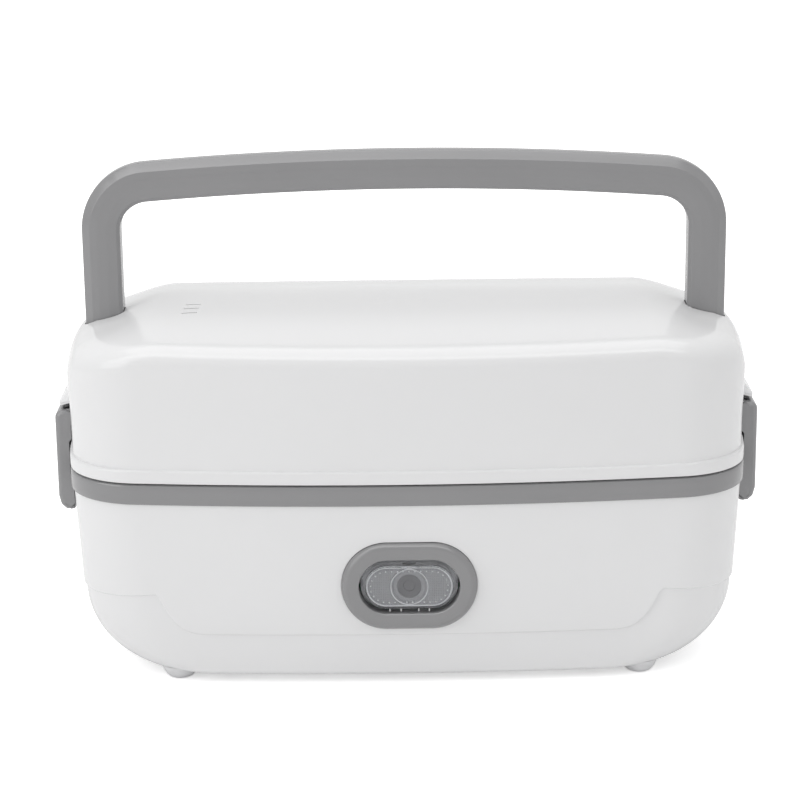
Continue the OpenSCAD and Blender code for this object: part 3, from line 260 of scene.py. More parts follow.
strength = spread(tree, distance.outputs["Value"], GLOW_NEAR, GLOW_FAR, GLOW_FROM, GLOW_TO)
glow = calculate(tree, "MULTIPLY", seen_directly(tree, FLOOR_MIRRORED), strength)
tree.links.new(glow, shader.inputs["Emission Strength"])
floor.data.materials.append(paper)
print("floor", 2 * FLOOR_HALF, "m wide")


# %% Panels
def panel(name, place, aim, size, watts):
    """A rectangular soft panel that faces a point."""
    data = bpy.data.lights.new(name, "AREA")
    data.shape = "RECTANGLE"
    data.size, data.size_y = size
    data.energy = watts
    lamp = add_object(name, data)
    lamp.location = place
    lamp.rotation_euler = (Vector(aim) - Vector(place)).to_track_quat("-Z", "Y").to_euler()
    print(f"{name}: {watts} W")
    return lamp


panel("top_panel", (0.0, 0.15, 1.3), (0, 0, 0.05), (1.4, 1.0), 5.6)
panel("left_panel", (-1.1, -0.7, 0.7), (0, 0, 0.08), (0.9, 0.9), 3.9)
panel("right_panel", (1.2, -0.5, 0.6), (0, 0, 0.08), (0.9, 0.9), 0.45)
sheen = panel("sheen_card", (-0.1, -0.62, 1.35), (0, 0, 0.15), (2.2, 0.45), 6.5)
sheen.visible_diffuse = False

# %% [markdown]
# ## The plan outline
# Every wall of the box follows one plan: two wide bows at the front and back, two bows at the ends and
# four corner arcs that touch them. Given the half sizes and the three radii, the corner arc's centre
# comes from two circles that touch inside each other. Sampling each arc by shares keeps the points of
# all outlines matched, so any two of them can be joined by a wall. The shares are closer together near
# the ends of the front bow, where the joint of the base turns upward.

# %% Matched samples
CORNER_STEPS, END_STEPS = 22, 16
CLOSER_FROM, WIDE_STEPS, CLOSE_STEPS = 0.72, 18, 26
front_shares = np.concatenate([np.linspace(0, CLOSER_FROM, WIDE_STEPS, endpoint=False),
                               np.linspace(CLOSER_FROM, 1, CLOSE_STEPS, endpoint=False)])
quarter_arc = np.repeat([0, 1, 2], [len(front_shares), CORNER_STEPS, END_STEPS + 1])
quarter_share = np.concatenate([front_shares, np.arange(CORNER_STEPS) / CORNER_STEPS,
                                np.arange(END_STEPS + 1) / END_STEPS])
quarter_n = len(quarter_arc)
half_index = np.r_[np.arange(quarter_n), np.arange(quarter_n - 2, -1, -1)]
half_sign = np.r_[np.ones(quarter_n), -np.ones(quarter_n - 1)]
half_n = len(half_index)
loop_index = np.r_[half_index, half_index[half_n - 2:0:-1]]
ARC = quarter_arc[loop_index]
SHARE = quarter_share[loop_index]
SIGN_X = np.r_[np.ones(half_n), -np.ones(half_n - 2)]
SIGN_Y = np.r_[half_sign, half_sign[half_n - 2:0:-1]]
AROUND = len(ARC)
print("points round the plan:", AROUND)


# %% Outline
def per_arc(front, corner, end):
    """Each sample's value, by the arc it lies on."""
    return np.select([ARC == 0, ARC == 1], [front, corner], end)


def outline(half_w, half_d, front_r, end_r, corner_r):
    """Plan points and outward normals, anticlockwise from the middle of the front.
    A corner centre lies front_r - corner_r from the front bow's centre and end_r - corner_r from the end
    bow's centre; each sample is a centre plus a radius at an angle shared out along its arc."""
    front_y = front_r - half_d
    end_x = half_w - end_r
    span = np.hypot(front_y, end_x)
    along = ((front_r - corner_r) ** 2 - (end_r - corner_r) ** 2 + span ** 2) / (2 * span)
    off = np.sqrt((front_r - corner_r) ** 2 - along ** 2)
    cx = (along * end_x + off * front_y) / span
    cy = front_y + (off * end_x - along * front_y) / span
    first = np.arctan2(cy - front_y, cx)
    second = np.arctan2(cy, cx - end_x)
    quarter = math.pi / 2
    angle = per_arc(-quarter + (first + quarter) * SHARE, first + (second - first) * SHARE,
                    second * (1 - SHARE))
    x0, y0 = per_arc(0 * cx, cx, end_x), per_arc(front_y, cy, 0 * cy)
    radius = per_arc(front_r, corner_r, end_r)
    nx, ny = np.cos(angle), np.sin(angle)
    return SIGN_X * (x0 + radius * nx), SIGN_Y * (y0 + radius * ny), SIGN_X * nx, SIGN_Y * ny


BODY_HW, BODY_HD = 118.0, 57.75
FRONT_BOW, END_BOW, CORNER_R = 784.0, 240.0, 27.0


def rim_line(inset):
    """The widest line of the box, moved in."""
    return outline(BODY_HW - inset, BODY_HD - inset, FRONT_BOW - inset, END_BOW - inset, CORNER_R - inset)


def ring(line, z):
    """An outline at a height, as an array of points."""
    return np.stack([line[0], line[1], np.broadcast_to(z, line[0].shape)], -1)


def flat(line, z, shares=(1, 0.8, 0.55, 0.3, 0.12, 0)):
    """Rows that draw an outline in to a line half as long as it is wide, at one height, which closes a
    floor or a roof."""
    return np.array([ring((line[0] * (1 - 0.5 * (1 - s)), line[1] * s), z) for s in shares])


print("widest line, half sizes:", rim_line(0)[0].max().round(2), rim_line(0)[1].max().round(2))

# %% [markdown]
# ## Surfaces and tools
# A piece is a skin through rows of points, a few solids in one object, or a block that is cut. A skin
# gives full control of every edge; a boolean keeps a hole or a joint exact where two forms cross. The
# tool of a cut is a closed solid too, and is thrown away afterwards.

# %% Skins and booleans
def mesh_object(name, points, faces):
    """An object made of faces over points given in millimetres."""
    mesh = bpy.data.meshes.new(name)
    mesh.from_pydata((points * MM).tolist(), [], faces)
    return add_object(name, mesh)


def surface(name, rows, wrap=False, caps=False):
    """A closed skin through rows of matched points: each face joins point i and i+1 of a row to the same
    two of the next. wrap joins the last row to the first; caps close the first and last rows with a face."""
    rows = np.asarray(rows, float)
    count, n = rows.shape[:2]
    r = np.arange(count if wrap else count - 1)[:, None]
    i = np.arange(n)[None, :]
    below, above = r * n, (r + 1) % count * n
    faces = np.stack([below + i, below + (i + 1) % n, above + (i + 1) % n, above + i], -1)
    faces = faces.reshape(-1, 4).tolist()
    if caps:
        faces += [list(range(n))[::-1], [(count - 1) * n + k for k in range(n)]]
    piece = mesh_object(name, rows.reshape(-1, 3), faces)
    weld(piece)
    return piece


def weld(piece, gap=1e-7):
    """Joins points that lie on one another, which closes the poles."""
    work = bmesh.new()
    work.from_mesh(piece.data)
    bmesh.ops.remove_doubles(work, verts=work.verts, dist=gap)
    bmesh.ops.dissolve_degenerate(work, edges=work.edges, dist=gap)
    work.to_mesh(piece.data)
    work.free()


def bake_modifiers(piece):
    """Replaces the mesh by what its modifiers make of it."""
    bpy.context.view_layer.update()
    shaped = bpy.data.meshes.new_from_object(piece.evaluated_get(bpy.context.evaluated_depsgraph_get()))
    old = piece.data
    piece.modifiers.clear()
    piece.data = shaped
    bpy.data.meshes.remove(old)


def combine(piece, tool, how):
    """Cuts a closed tool from the piece, joins it on or keeps what both share, and removes the tool."""
    change = piece.modifiers.new(how, "BOOLEAN")
    change.operation = how
    change.solver = "EXACT"
    change.object = tool
    bake_modifiers(piece)
    bpy.data.objects.remove(tool)


def cut(piece, tool):
    """Takes a closed tool out of the piece."""
    combine(piece, tool, "DIFFERENCE")


def soften(piece, width):
    """Rounds the edges that turn more than 40 degrees."""
    edge = piece.modifiers.new("edge", "BEVEL")
    edge.width = width * MM
    edge.segments = 2
    edge.limit_method = "ANGLE"
    edge.angle_limit = math.radians(40)
    bake_modifiers(piece)
    return piece


# %% Dressing and copies
def dress(piece, body, slot, *nodes, crease=32):
    """Smooth shading with creases, a finish, and the body and CAD nodes that the piece stands for."""
    mesh = piece.data
    mesh.shade_smooth()
    mesh.set_sharp_from_angle(angle=math.radians(crease))
    mesh.materials.clear()
    mesh.materials.append(finishes[slot])
    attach(piece, body)
    if nodes:
        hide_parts(*nodes)
    print(f"{piece.name}: {len(mesh.polygons)} faces")


def object_from(name, work):
    """A new object from a bmesh, which is freed."""
    mesh = bpy.data.meshes.new(name)
    work.to_mesh(mesh)
    work.free()
    return add_object(name, mesh)


def merge(name, pieces):
    """Several solids as one object."""
    work = bmesh.new()
    for piece in pieces:
        work.from_mesh(piece.data)
        bpy.data.objects.remove(piece)
    return object_from(name, work)


def mirrored(name, piece):
    """A copy of the piece with x turned round, its faces kept pointing out."""
    work = bmesh.new()
    work.from_mesh(piece.data)
    bmesh.ops.scale(work, vec=(-1, 1, 1), verts=work.verts)
    bmesh.ops.reverse_faces(work, faces=work.faces)
    return object_from(name, work)


# %% Drawn shapes
def unit_rows(v):
    """Every row of an array divided by its length."""
    return v / np.linalg.norm(v, axis=1)[:, None]


def rounded(points, radii, steps=6):
    """A polygon whose corners are arcs. Each arc's centre lies on its corner's bisector, radius / sin(half
    the corner) away, and the arc swings from one side's touching point to the other's."""
    p = np.asarray(points, float)
    r = np.broadcast_to(np.asarray(radii, float), len(p))[:, None]
    before, after = unit_rows(np.roll(p, 1, 0) - p), unit_rows(np.roll(p, -1, 0) - p)
    half = np.arccos(np.clip((before * after).sum(1), -1, 1))[:, None] / 2
    centre = p + unit_rows(before + after) * r / np.sin(half)
    start = p + before * r / np.tan(half) - centre
    end = p + after * r / np.tan(half) - centre
    sweep = (math.pi - 2 * half)[:, None]
    share = np.linspace(0, 1, steps + 1)[None, :, None]
    swing = np.sin((1 - share) * sweep) * start[:, None] + np.sin(share * sweep) * end[:, None]
    return (centre[:, None] + swing / np.sin(sweep)).reshape(-1, 2)


def rounded_box(w, h, r, steps=8):
    """A rectangle with round corners."""
    return rounded([(-w / 2, -h / 2), (w / 2, -h / 2), (w / 2, h / 2), (-w / 2, h / 2)], r, steps)


def prism_z(name, line, z0, z1):
    """An upright prism on a plan polygon."""
    line = np.asarray(line, float)
    return surface(name, [np.c_[line, np.full(len(line), z)] for z in (z0, z1)], caps=True)


def prism_y(name, line, y0, y1):
    """A prism along Y on a polygon in x and z, anticlockwise as seen from the front."""
    line = np.asarray(line, float)
    return surface(name, [np.c_[line[:, 0], np.full(len(line), y), line[:, 1]] for y in (y1, y0)], caps=True)


def circle(x, z, r, n=64):
    """Points of a circle, anticlockwise."""
    turn = np.linspace(0, 2 * math.pi, n, endpoint=False)
    return np.c_[x + r * np.cos(turn), z + r * np.sin(turn)]


def turned(name, profile, centre, steps=48, turn_to=None):
    """A profile of radius and height turned about an axis: x = r cos a, y = r sin a, at each height."""
    turn = np.linspace(0, 2 * math.pi, steps, endpoint=False)
    rows = np.array([np.c_[r * np.cos(turn), r * np.sin(turn), np.full(steps, h)] for r, h in profile])
    if turn_to is None:
        return surface(name, rows + np.asarray(centre))
    return surface(name, turn_to(rows, centre[1], centre[2]) + [centre[0], 0, 0])


# %% [markdown]
# ## Lid
# The lid is one injection moulding about 2 mm thick: a lip round its foot, upright walls, a soft edge
# and a crowned top that drops to a ledge at each end, where the handle's legs go in. It could be cut from
# a box with bevels, but the edge changes its radius from the front to the ends, so the skin is worked
# out ring by ring. It starts in the middle of the inside, runs down to the foot, and comes up the outside.

# %% Lid form
LID_FOOT, LIP_TOP, CROWN = 72.2, 76.8, 123.8
LID_HW, LID_HD, LID_CORNER, LID_T = 117.1, 56.85, 28.0, 2.2
CROWN_FALL, FALL_DEPTH = 5.8, 51.85
LEDGE_DROP, LEDGE_FROM, LEDGE_RUN = 6.4, 82.5, 29
FRONT_LESS, FRONT_FROM, FRONT_RUN = 2.2, 15, 30
EDGE_REACH, REACH_MORE, EDGE_FALL, FALL_MORE = 8, 2, 6.4, 5.8    # at the front, and more at the ends
BELLY, SLANT = 0.6, 0.3
NEAR_EDGE, MIDDLE_PULL = 0.4, 0.45


def smooth_step(t):
    """0 below 0, 1 above 1, and 3t^2 - 2t^3 between."""
    t = np.clip(t, 0, 1)
    return t * t * (3 - 2 * t)


def lid_top(x, y):
    """Height of the top: the crown falls with the square of the depth and steps down to the end ledges,
    a little less towards the front."""
    drop = LEDGE_DROP - FRONT_LESS * smooth_step((-y - FRONT_FROM) / FRONT_RUN)
    ledge = smooth_step((np.abs(x) - LEDGE_FROM) / LEDGE_RUN)
    return CROWN - CROWN_FALL * (np.abs(y) / FALL_DEPTH) ** 2 - drop * ledge


def lid_edge(inset):
    """The wall line and the edge's reach inward and downward. Both grow from the front to the ends with
    the cube of the normal's x."""
    line = outline(LID_HW - inset, LID_HD - inset, FRONT_BOW - inset, END_BOW - inset, LID_CORNER - inset)
    end = np.abs(line[2]) ** 3
    return *line, EDGE_REACH + REACH_MORE * end, EDGE_FALL + FALL_MORE * end


def soft_quarter(count):
    """Shares of reach and of rise along an edge that turns through a right angle. The angle grows by
    3t^2 - 2t^3, so the bend starts and ends gently and the light on it has no hard line."""
    t = np.linspace(0, 1, 401)
    turn = math.pi / 2 * smooth_step(t)
    sums = np.cumsum(np.sin(turn)), np.cumsum(np.cos(turn))
    return [np.interp(np.linspace(0, 1, count), t, (v - v[0]) / (v[-1] - v[0])) for v in sums]


print("ledge under the crown:", round(CROWN - float(lid_top(LID_HW, 0)), 2))


# %% Lid skin
def lid_skin(inset, foot, walls, edges, tops):
    """Rows from the foot of the wall to the middle of the top, inset by the wall thickness inside. The
    end walls swell by the belly over the upper five sevenths of their height, as nx^2. Towards the ends
    the edge is mixed with an even line, by the slant times |nx|^3. The top is drawn in to a middle line."""
    x, y, nx, ny, reach, fall = lid_edge(inset)
    share = np.linspace(0, 1, walls)[:, None]
    belly = BELLY * smooth_step(share * 1.4 - 0.4) * nx ** 2 * np.sign(nx)
    wall = np.stack([x + belly, y + 0 * share, foot + (lid_top(x, y) - inset - fall - foot) * share], -1)
    x = x + belly[-1]
    even = np.linspace(0, 1, edges)[1:, None]
    slant = SLANT * np.abs(nx) ** 3
    inward, rise = [(1 - slant) * v[1:, None] + slant * even for v in soft_quarter(edges)]
    qx, qy = x - nx * reach * inward, y - ny * reach * inward
    edge = np.stack([qx, qy, lid_top(qx, qy) - inset - fall * (1 - rise)], -1)
    s = np.concatenate([np.linspace(0, NEAR_EDGE, tops)[1:], np.linspace(NEAR_EDGE, 1, tops)[1:]])[:, None]
    tx, ty = (x - nx * reach) * (1 - MIDDLE_PULL * s), (y - ny * reach) * (1 - s)
    top = np.stack([tx, ty, lid_top(tx, ty) - inset], -1)
    return np.concatenate([wall, edge, top])


inside = lid_skin(LID_T, LIP_TOP, walls=6, edges=10, tops=18)[::-1]
foot_rows = [(4.6, LIP_TOP), (4.6, LID_FOOT + 0.3), (4.4, LID_FOOT), (3.85, LID_FOOT), (3.85, 74.65),
             (1.55, 74.65), (1.55, LID_FOOT), (0.45, LID_FOOT), (0.13, LID_FOOT + 0.13), (0, LID_FOOT + 0.45),
             (0, 73.8), (0, 75.2), (0, LIP_TOP - 1), (0.06, LIP_TOP - 0.62), (0.22, LIP_TOP - 0.3),
             (0.5, LIP_TOP - 0.1), (0.8, LIP_TOP)]
outside = lid_skin(0, LIP_TOP + 0.1, walls=14, edges=18, tops=26)
lid_rows = np.concatenate([inside, [ring(rim_line(t), z) for t, z in foot_rows], outside])
lid = surface("lid_case", lid_rows)
print("lid rows", len(lid_rows), "x", AROUND)

# %% Lid openings
PIN_X, PIN_Z, LEG_X = 118.6, 85.0, 105.2
SLOT_X, SLOT_Y, SLOT_TILT = -73.9, -13.8, math.radians(8)
plate = rounded([(113.5, -18.5), (115.4, -18.5), (115.4, 18.5), (113.5, 18.5)], [0.9, 0.1, 0.1, 0.9], 3)
pocket = circle(PIN_X, PIN_Z, 4.3)
for side in (-1, 1):
    combine(lid, prism_z("plate", (plate * [side, 1])[::side], 79, 91), "UNION")
    cut(lid, prism_z("mouth", rounded_box(14, 11.6, 3.3, 6) + [side * LEG_X, 0], 100, 130))
    cut(lid, prism_y("pocket", (pocket * [side, 1])[::side], -16.1, 16.1))
c, s = math.cos(SLOT_TILT), math.sin(SLOT_TILT)
slot_line = rounded_box(5.5, 0.76, 0.36, 6) @ np.array([[c, s], [-s, c]])
for i in (-1, 0, 1):
    cut(lid, prism_z("steam_slot", slot_line + [SLOT_X - 0.4 * i, SLOT_Y - 5 * i], 112, 130))
dress(lid, "lid", "white_plastic", "lid_shell")

# %% [markdown]
# ## Latch hoods and pin ears
# Above each latch a small white hood runs out of the lid's end, and two ears under it carry the steel
# pin. The hood is a profile carried along the depth; its reach shrinks towards both ends, so it fairs
# into the wall.

# %% Hood
HOOD_R, HOOD_FLAT, HOOD_END, WALL_X = 4.6, 10, 3, 114.4
PULL, LIFT = 0.93, 2.4


def hood():
    """Rows along Y: near both ends the outer points of the profile are pulled to the wall, by the root of
    one minus the squared share of the last 3 mm, and its tip is lifted clear of the opened latch. The
    hollow round the latch's top starts at 50 degrees, so that the latch can swing up."""
    swing = np.linspace(math.radians(50), math.radians(155), 9)
    under = np.c_[PIN_X + HOOD_R * np.cos(swing), PIN_Z + HOOD_R * np.sin(swing)]
    upper = rounded([(122.2, 89.0), (117.1, 95.2), (113.9, 95.8), (113.9, 90)], [0.4, 1.6, 0.2, 0.2], 4)[:15]
    profile = np.concatenate([under[::-1], upper])
    half = HOOD_FLAT + HOOD_END
    y = np.concatenate([-half + HOOD_END * (1 - np.cos(np.linspace(0, math.pi / 2, 8))),
                        np.linspace(-HOOD_FLAT, HOOD_FLAT, 9)[1:-1],
                        half - HOOD_END * (1 - np.cos(np.linspace(math.pi / 2, 0, 8)))])
    end = np.clip((np.abs(y) - HOOD_FLAT) / HOOD_END, 0, 1)
    reach = np.sqrt(np.clip(1 - PULL * end ** 2, 0, 1))[:, None]
    out, height = profile.T
    x = np.where(out < WALL_X, out, WALL_X + (out - WALL_X) * reach)
    near_tip, below_top = np.clip((out - 116) / 4, 0, 1), np.clip((95.2 - height) / 6, 0, 1)
    z = height + LIFT * (1 - reach) * near_tip * below_top
    rows = np.stack([x, np.broadcast_to(y[:, None], x.shape), z], -1)
    return surface("hood", rows[::-1], caps=True)


# %% Pin ears
EAR_Y, EAR_R, EAR_HALF = 10.5, 2.1, 1.5


def ear(y):
    """A thin upright plate round the pin, with a web back to the wall."""
    turn = np.linspace(-math.pi / 2, math.pi / 2, 13)
    plate = np.concatenate([np.c_[PIN_X + EAR_R * np.cos(turn), PIN_Z + EAR_R * np.sin(turn)],
                            [(113.9, PIN_Z + 1), (113.9, PIN_Z - 4.5), (117.2, PIN_Z - 3.5)]])
    return soften(prism_y("ear", plate, y - EAR_HALF, y + EAR_HALF), 0.25)


right_ear_set = merge("pin_ears_right", [ear(-EAR_Y), ear(EAR_Y)])
right_hood = hood()
right_hood.name = "latch_hood_right"
left_ear_set = mirrored("pin_ears_left", right_ear_set)
left_hood = mirrored("latch_hood_left", right_hood)
for piece in (right_hood, left_hood, right_ear_set, left_ear_set):
    dress(piece, "lid", "white_plastic", "lid_shell")

# %% [markdown]
# ## Base casing and bottom cover
# The base is a tub whose ends roll into the underside. It is moulded in two parts: the casing above a
# stepped joint and the bottom cover below it, set in by 0.8 mm so that the joint shows as a fine step.
# The joint's height depends on the width, so each column of points first finds its own height on the
# joint: guess a height, read the width there, look up the joint, and repeat until it settles.

# %% Base form
FLOOR_Z, BAND_Z0 = 3.0, 64.7
HEEL_X, HEEL_R, EDGE_R, WALL = 89.1, 26.0, 1.5, 2.4
HEEL_Z = FLOOR_Z + HEEL_R
LEAN, HALF_DEPTH = 2, 56.85
FLOOR_BOW, BOW_CHANGE = 1160, 376    # the front bow's radius at the floor, and less at the band
JOINT_LOW, JOINT_RISE, RISE_FROM, RISE_RUN = 18, 14.4, 67.2, 18.8
JOINT_FALL, FALL_FROM, FALL_RUN = 3, 86, 32


def base_line(z, inset):
    """Plan of the base at a height. Below the heel line the half width follows a quarter circle of the
    heel radius, x = x0 + (r - inset) root(1 - (drop / r)^2); above it leans out by 2 mm to the band. The
    half depth leans evenly, with a small radius at the foot."""
    z = np.asarray(z, float)
    rise = (z - FLOOR_Z) / (BAND_Z0 - FLOOR_Z)
    drop = np.clip((HEEL_Z - z) / HEEL_R, 0, 1)
    lean = LEAN * np.clip((z - HEEL_Z) / (BAND_Z0 - HEEL_Z), 0, 1)
    half_w = HEEL_X + (HEEL_R - inset) * np.sqrt(1 - drop ** 2) + lean
    foot = np.clip(FLOOR_Z + EDGE_R - z, 0, EDGE_R)
    half_d = HALF_DEPTH - LEAN * (1 - rise) - inset - (EDGE_R - np.sqrt(EDGE_R ** 2 - foot ** 2))
    bow = FLOOR_BOW - BOW_CHANGE * rise - inset
    return outline(half_w, half_d, bow, END_BOW - inset, CORNER_R - inset)


def joint_height(x):
    """Low across the middle, rising with the power 3.3 of the width, then falling a little round the
    ends. The mean over 1.6 mm of width rounds its corner."""
    x = np.abs(x) + np.linspace(-0.8, 0.8, 5)[:, None]
    climb = np.clip((x - RISE_FROM) / RISE_RUN, 0, 1) ** 3.3
    fall = np.clip((x - FALL_FROM) / FALL_RUN, 0, 1)
    return (JOINT_LOW + JOINT_RISE * climb - JOINT_FALL * fall).mean(0)


def on_joint(inset, gap):
    """The joint's height at every column of points, moved up or down by a gap. Sixty half steps from
    a middle height settle it."""
    z = np.full(AROUND, 25.0)
    for _ in range(60):
        z = 0.5 * z + 0.5 * (joint_height(base_line(z, inset)[0]) + gap)
    return z


def base_rows(heights, inset):
    """Rows of the base form at given heights, one number or one per column."""
    levels = [np.broadcast_to(z, AROUND) for z in heights]
    return np.array([ring(base_line(z, inset), z) for z in levels])


def between(low, high, shares):
    """Heights that go from one set to another."""
    return [low + (high - low) * s for s in shares]


joint_up = on_joint(0, 0.0)
print("joint from", joint_up.min().round(2), "to", joint_up.max().round(2))

# %% Drawings turned to a wall
STRAIGHT, BEND = 20, 40


def stadium(w, h):
    """Points of a bar with round ends, anticlockwise from the lower left: a straight, a half circle, a
    straight and a half circle."""
    r, a = h / 2, (w - h) / 2
    turn = np.linspace(-math.pi / 2, math.pi / 2, BEND + 1)
    share = np.linspace(-1, 1, STRAIGHT, endpoint=False)[1:]
    lower = np.c_[share * a, np.full(len(share), -r)]
    bend = np.c_[a + r * np.cos(turn), r * np.sin(turn)]
    return np.concatenate([lower, bend, -lower, -bend])


def facing_front(points, y, z):
    """Turns a drawing in x and y, with its height towards the viewer, to the front of the box."""
    points = np.asarray(points, float)
    return np.stack([points[..., 0], y - points[..., 2], z + points[..., 1]], -1)


def facing_back(points, y, z):
    """Turns a drawing to the back of the box, seen from behind."""
    return facing_front(np.asarray(points) * [-1, 1, -1], y, z)


def stack(line_of, steps, turn_to, *place):
    """Rows of a shape whose outline changes with the step: line_of(first value) at height (second)."""
    rows = np.array([np.c_[line_of(v), np.full(len(line_of(v)), h)] for v, h in steps])
    return turn_to(rows, *place)


def block(name, line, low, high, turn_to, *place):
    """A straight solid on an outline, from one height to another."""
    return surface(name, stack(lambda v: line, [(0, low), (0, high)], turn_to, *place), caps=True)


# %% Casing
BUTTON_Z, BEZEL_FRONT, BEZEL_SEAT = 36.0, -58.020, -55.420
INLET_Z, INLET_SEAT = 35.0, 55.420
CASING_EDGE = 0.5
edge_rows = []
for a in np.linspace(math.pi / 2, 0, 5):
    z = joint_up + CASING_EDGE * (1 - math.sin(a))
    edge_rows.append(ring(base_line(z, CASING_EDGE * (1 - math.cos(a))), z))
outer_rows = base_rows(between(joint_up + CASING_EDGE, BAND_Z0, np.linspace(0, 1, 18)[1:]), 0)
inner_rows = base_rows(between(on_joint(WALL, 0.0), BAND_Z0, np.linspace(1, 0, 16)), WALL)
casing = surface("base_casing", np.concatenate([edge_rows, outer_rows, inner_rows]), wrap=True)
RING_W, RING_H, HOLE_START, HOLE_DEPTH = 46.2, 31.0, 47, 12
for grow, start in ((0.4, BEZEL_SEAT), (-5.5, -HOLE_START)):
    hole_line = stadium(RING_W + grow, RING_H + grow)
    cut(casing, block("hole", hole_line, 0, HOLE_DEPTH, facing_front, start, BUTTON_Z))
for size, start in (((33.9, 26.4, 4.2), INLET_SEAT), ((28.3, 20.8, 2.2), HOLE_START)):
    cut(casing, block("hole", rounded_box(*size), 0, HOLE_DEPTH, facing_back, start, INLET_Z))
dress(casing, "base", "white_plastic", "base_shell")

# %% Bottom cover
COVER_IN, JOINT_GAP = 0.8, 0.05
FOOT_X, FOOT_Y = 79.5, 43.5
POST_X, POST_Y, POST_R = 62.0, 44.5, 3.2
corners = [(sx, sy) for sx in (-1, 1) for sy in (-1, 1)]
cover_foot = np.full(AROUND, FLOOR_Z)
outer_shares = 1 - np.cos(np.linspace(0, math.pi / 2, 28))
inner_shares = np.linspace(0, 1, 14) ** 1.6
outer_cover = base_rows(between(cover_foot, on_joint(COVER_IN, -JOINT_GAP), outer_shares), COVER_IN)
inner_cover = base_rows(between(cover_foot, on_joint(COVER_IN + WALL, -JOINT_GAP), inner_shares),
                        COVER_IN + WALL)
inner_cover[..., 2] = np.maximum(inner_cover[..., 2], FLOOR_Z + WALL)
under = flat(base_line(cover_foot, COVER_IN), FLOOR_Z)[::-1]
over = flat(base_line(cover_foot, COVER_IN + WALL), FLOOR_Z + WALL)
cover = surface("bottom_cover_shell", np.concatenate([under, outer_cover, inner_cover[::-1], over]))
foot_hole = [(0, 1), (6.12, 1), (6.12, 3.0), (6.22, 3.2), (6.42, 3.6), (6.42, 4.7), (0, 4.7)]
cutters = [prism_z("recess", circle(sx * POST_X, sy * POST_Y, POST_R, 48), 2, 7) for sx, sy in corners]
cutters += [turned("recess", foot_hole, (sx * FOOT_X, sy * FOOT_Y, 0)) for sx, sy in corners]
cut(cover, merge("recesses", cutters))
dress(cover, "base", "white_plastic", "bottom_cover")

# %% [markdown]
# ## Grey band
# The band is a ring that closes the top of the base. Outside it is a plain 7 mm strip; inside it carries
# the deck that holds the water pan, and a skirt that plugs into the casing. Its section is drawn once,
# as offsets from the rim line and heights, and carried round; the catches for the latches are added.

# %% Band
BAND_Z1, DECK_Z = 71.7, 66.7
PAN_HW, PAN_HD, PAN_BOW, PAN_CORNER = 104.5, 38.0, 1800.0, 20.0
outer_edge = [(0.0, BAND_Z0 + 0.5), (0.0, BAND_Z0 + 2.4), (0.0, BAND_Z0 + 4.7), (0.0, BAND_Z1 - 0.75),
              (0.25, BAND_Z1 - 0.25), (0.8, BAND_Z1), (2.8, BAND_Z1), (3.1, BAND_Z1 - 0.1),
              (3.2, BAND_Z1 - 0.4), (3.2, DECK_Z + 0.5), (3.35, DECK_Z + 0.12), (3.8, DECK_Z)]
lower_edge = [(5.38, BAND_Z0), (5.38, 59.9), (5.2, 59.7), (3.98, 59.7), (3.78, 59.9), (3.78, BAND_Z0),
              (0.5, BAND_Z0), (0.15, BAND_Z0 + 0.15)]
deck_line = outline(PAN_HW + 2, PAN_HD + 2, PAN_BOW, END_BOW, PAN_CORNER)
band_rows = [ring(rim_line(t), z) for t, z in outer_edge]
band_rows += [ring(deck_line, DECK_Z), ring(deck_line, BAND_Z0)]
band_rows += [ring(rim_line(t), z) for t, z in lower_edge]
band = surface("rim_band", band_rows, wrap=True)
catch_line = rounded([(116, BAND_Z0), (120.0, BAND_Z0), (120.0, 66.2), (119.2, 67.3), (116, 67.3)],
                     [0.1, 0.4, 0.4, 0.4, 0.1], 4)
catch = soften(prism_y("catch", catch_line, -8, 8), 0.2)
combine(band, merge("catches", [catch, mirrored("catch_left", catch)]), "UNION")
dress(band, "base", "grey_plastic", "rim_ring")

# %% [markdown]
# ## Rubber feet
# Four soft nubs with a rounded tread. Each flares where it meets the underside, so it looks moulded on.
# A profile turned about the upright axis gives the shape.

# %% Feet
foot_profile = [(0, 0), (2.8, 0), (3.6, 0.12), (4.3, 0.45), (4.9, 1.0), (5.35, 1.6), (5.7, 2.2), (5.95, 2.8),
                (6.1, 3.2), (6.3, 3.6), (6.3, 4.6), (0, 4.6)]
feet = [turned("foot", foot_profile, (sx * FOOT_X, sy * FOOT_Y, 0)) for sx, sy in corners]
dress(merge("rubber_feet", feet), "base", "foot_rubber", "feet")

# %% [markdown]
# ## Carrying handle
# The handle is one moulded bar: two legs, two bends and a bow so slight that it only just shows. Its
# section is not symmetric: the side towards the hand has a crisp narrow chamfer, the outer side a wide
# soft edge, and the broad faces between them are bowed by half a millimetre, so that light runs along
# them. The section is drawn once and carried along the centre line on the line's own normals.

# %% Handle
HANDLE_W, GRIP_GAP, BEND_R, BOW_R, LEG_FOOT = 13.4, 38.6, 17.0, 1160.0, 106.5
SCREW_R, SCREW_TOP = 1.25, 114.5
BOW_Z = CROWN + GRIP_GAP + HANDLE_W / 2 - BOW_R
BEND_X = LEG_X - BEND_R
BEND_Z = BOW_Z + math.sqrt((BOW_R - BEND_R) ** 2 - BEND_X ** 2)
BOW_ANGLE = math.asin(BEND_X / (BOW_R - BEND_R))
print("top of the handle", round(BOW_Z + BOW_R + HANDLE_W / 2, 2))


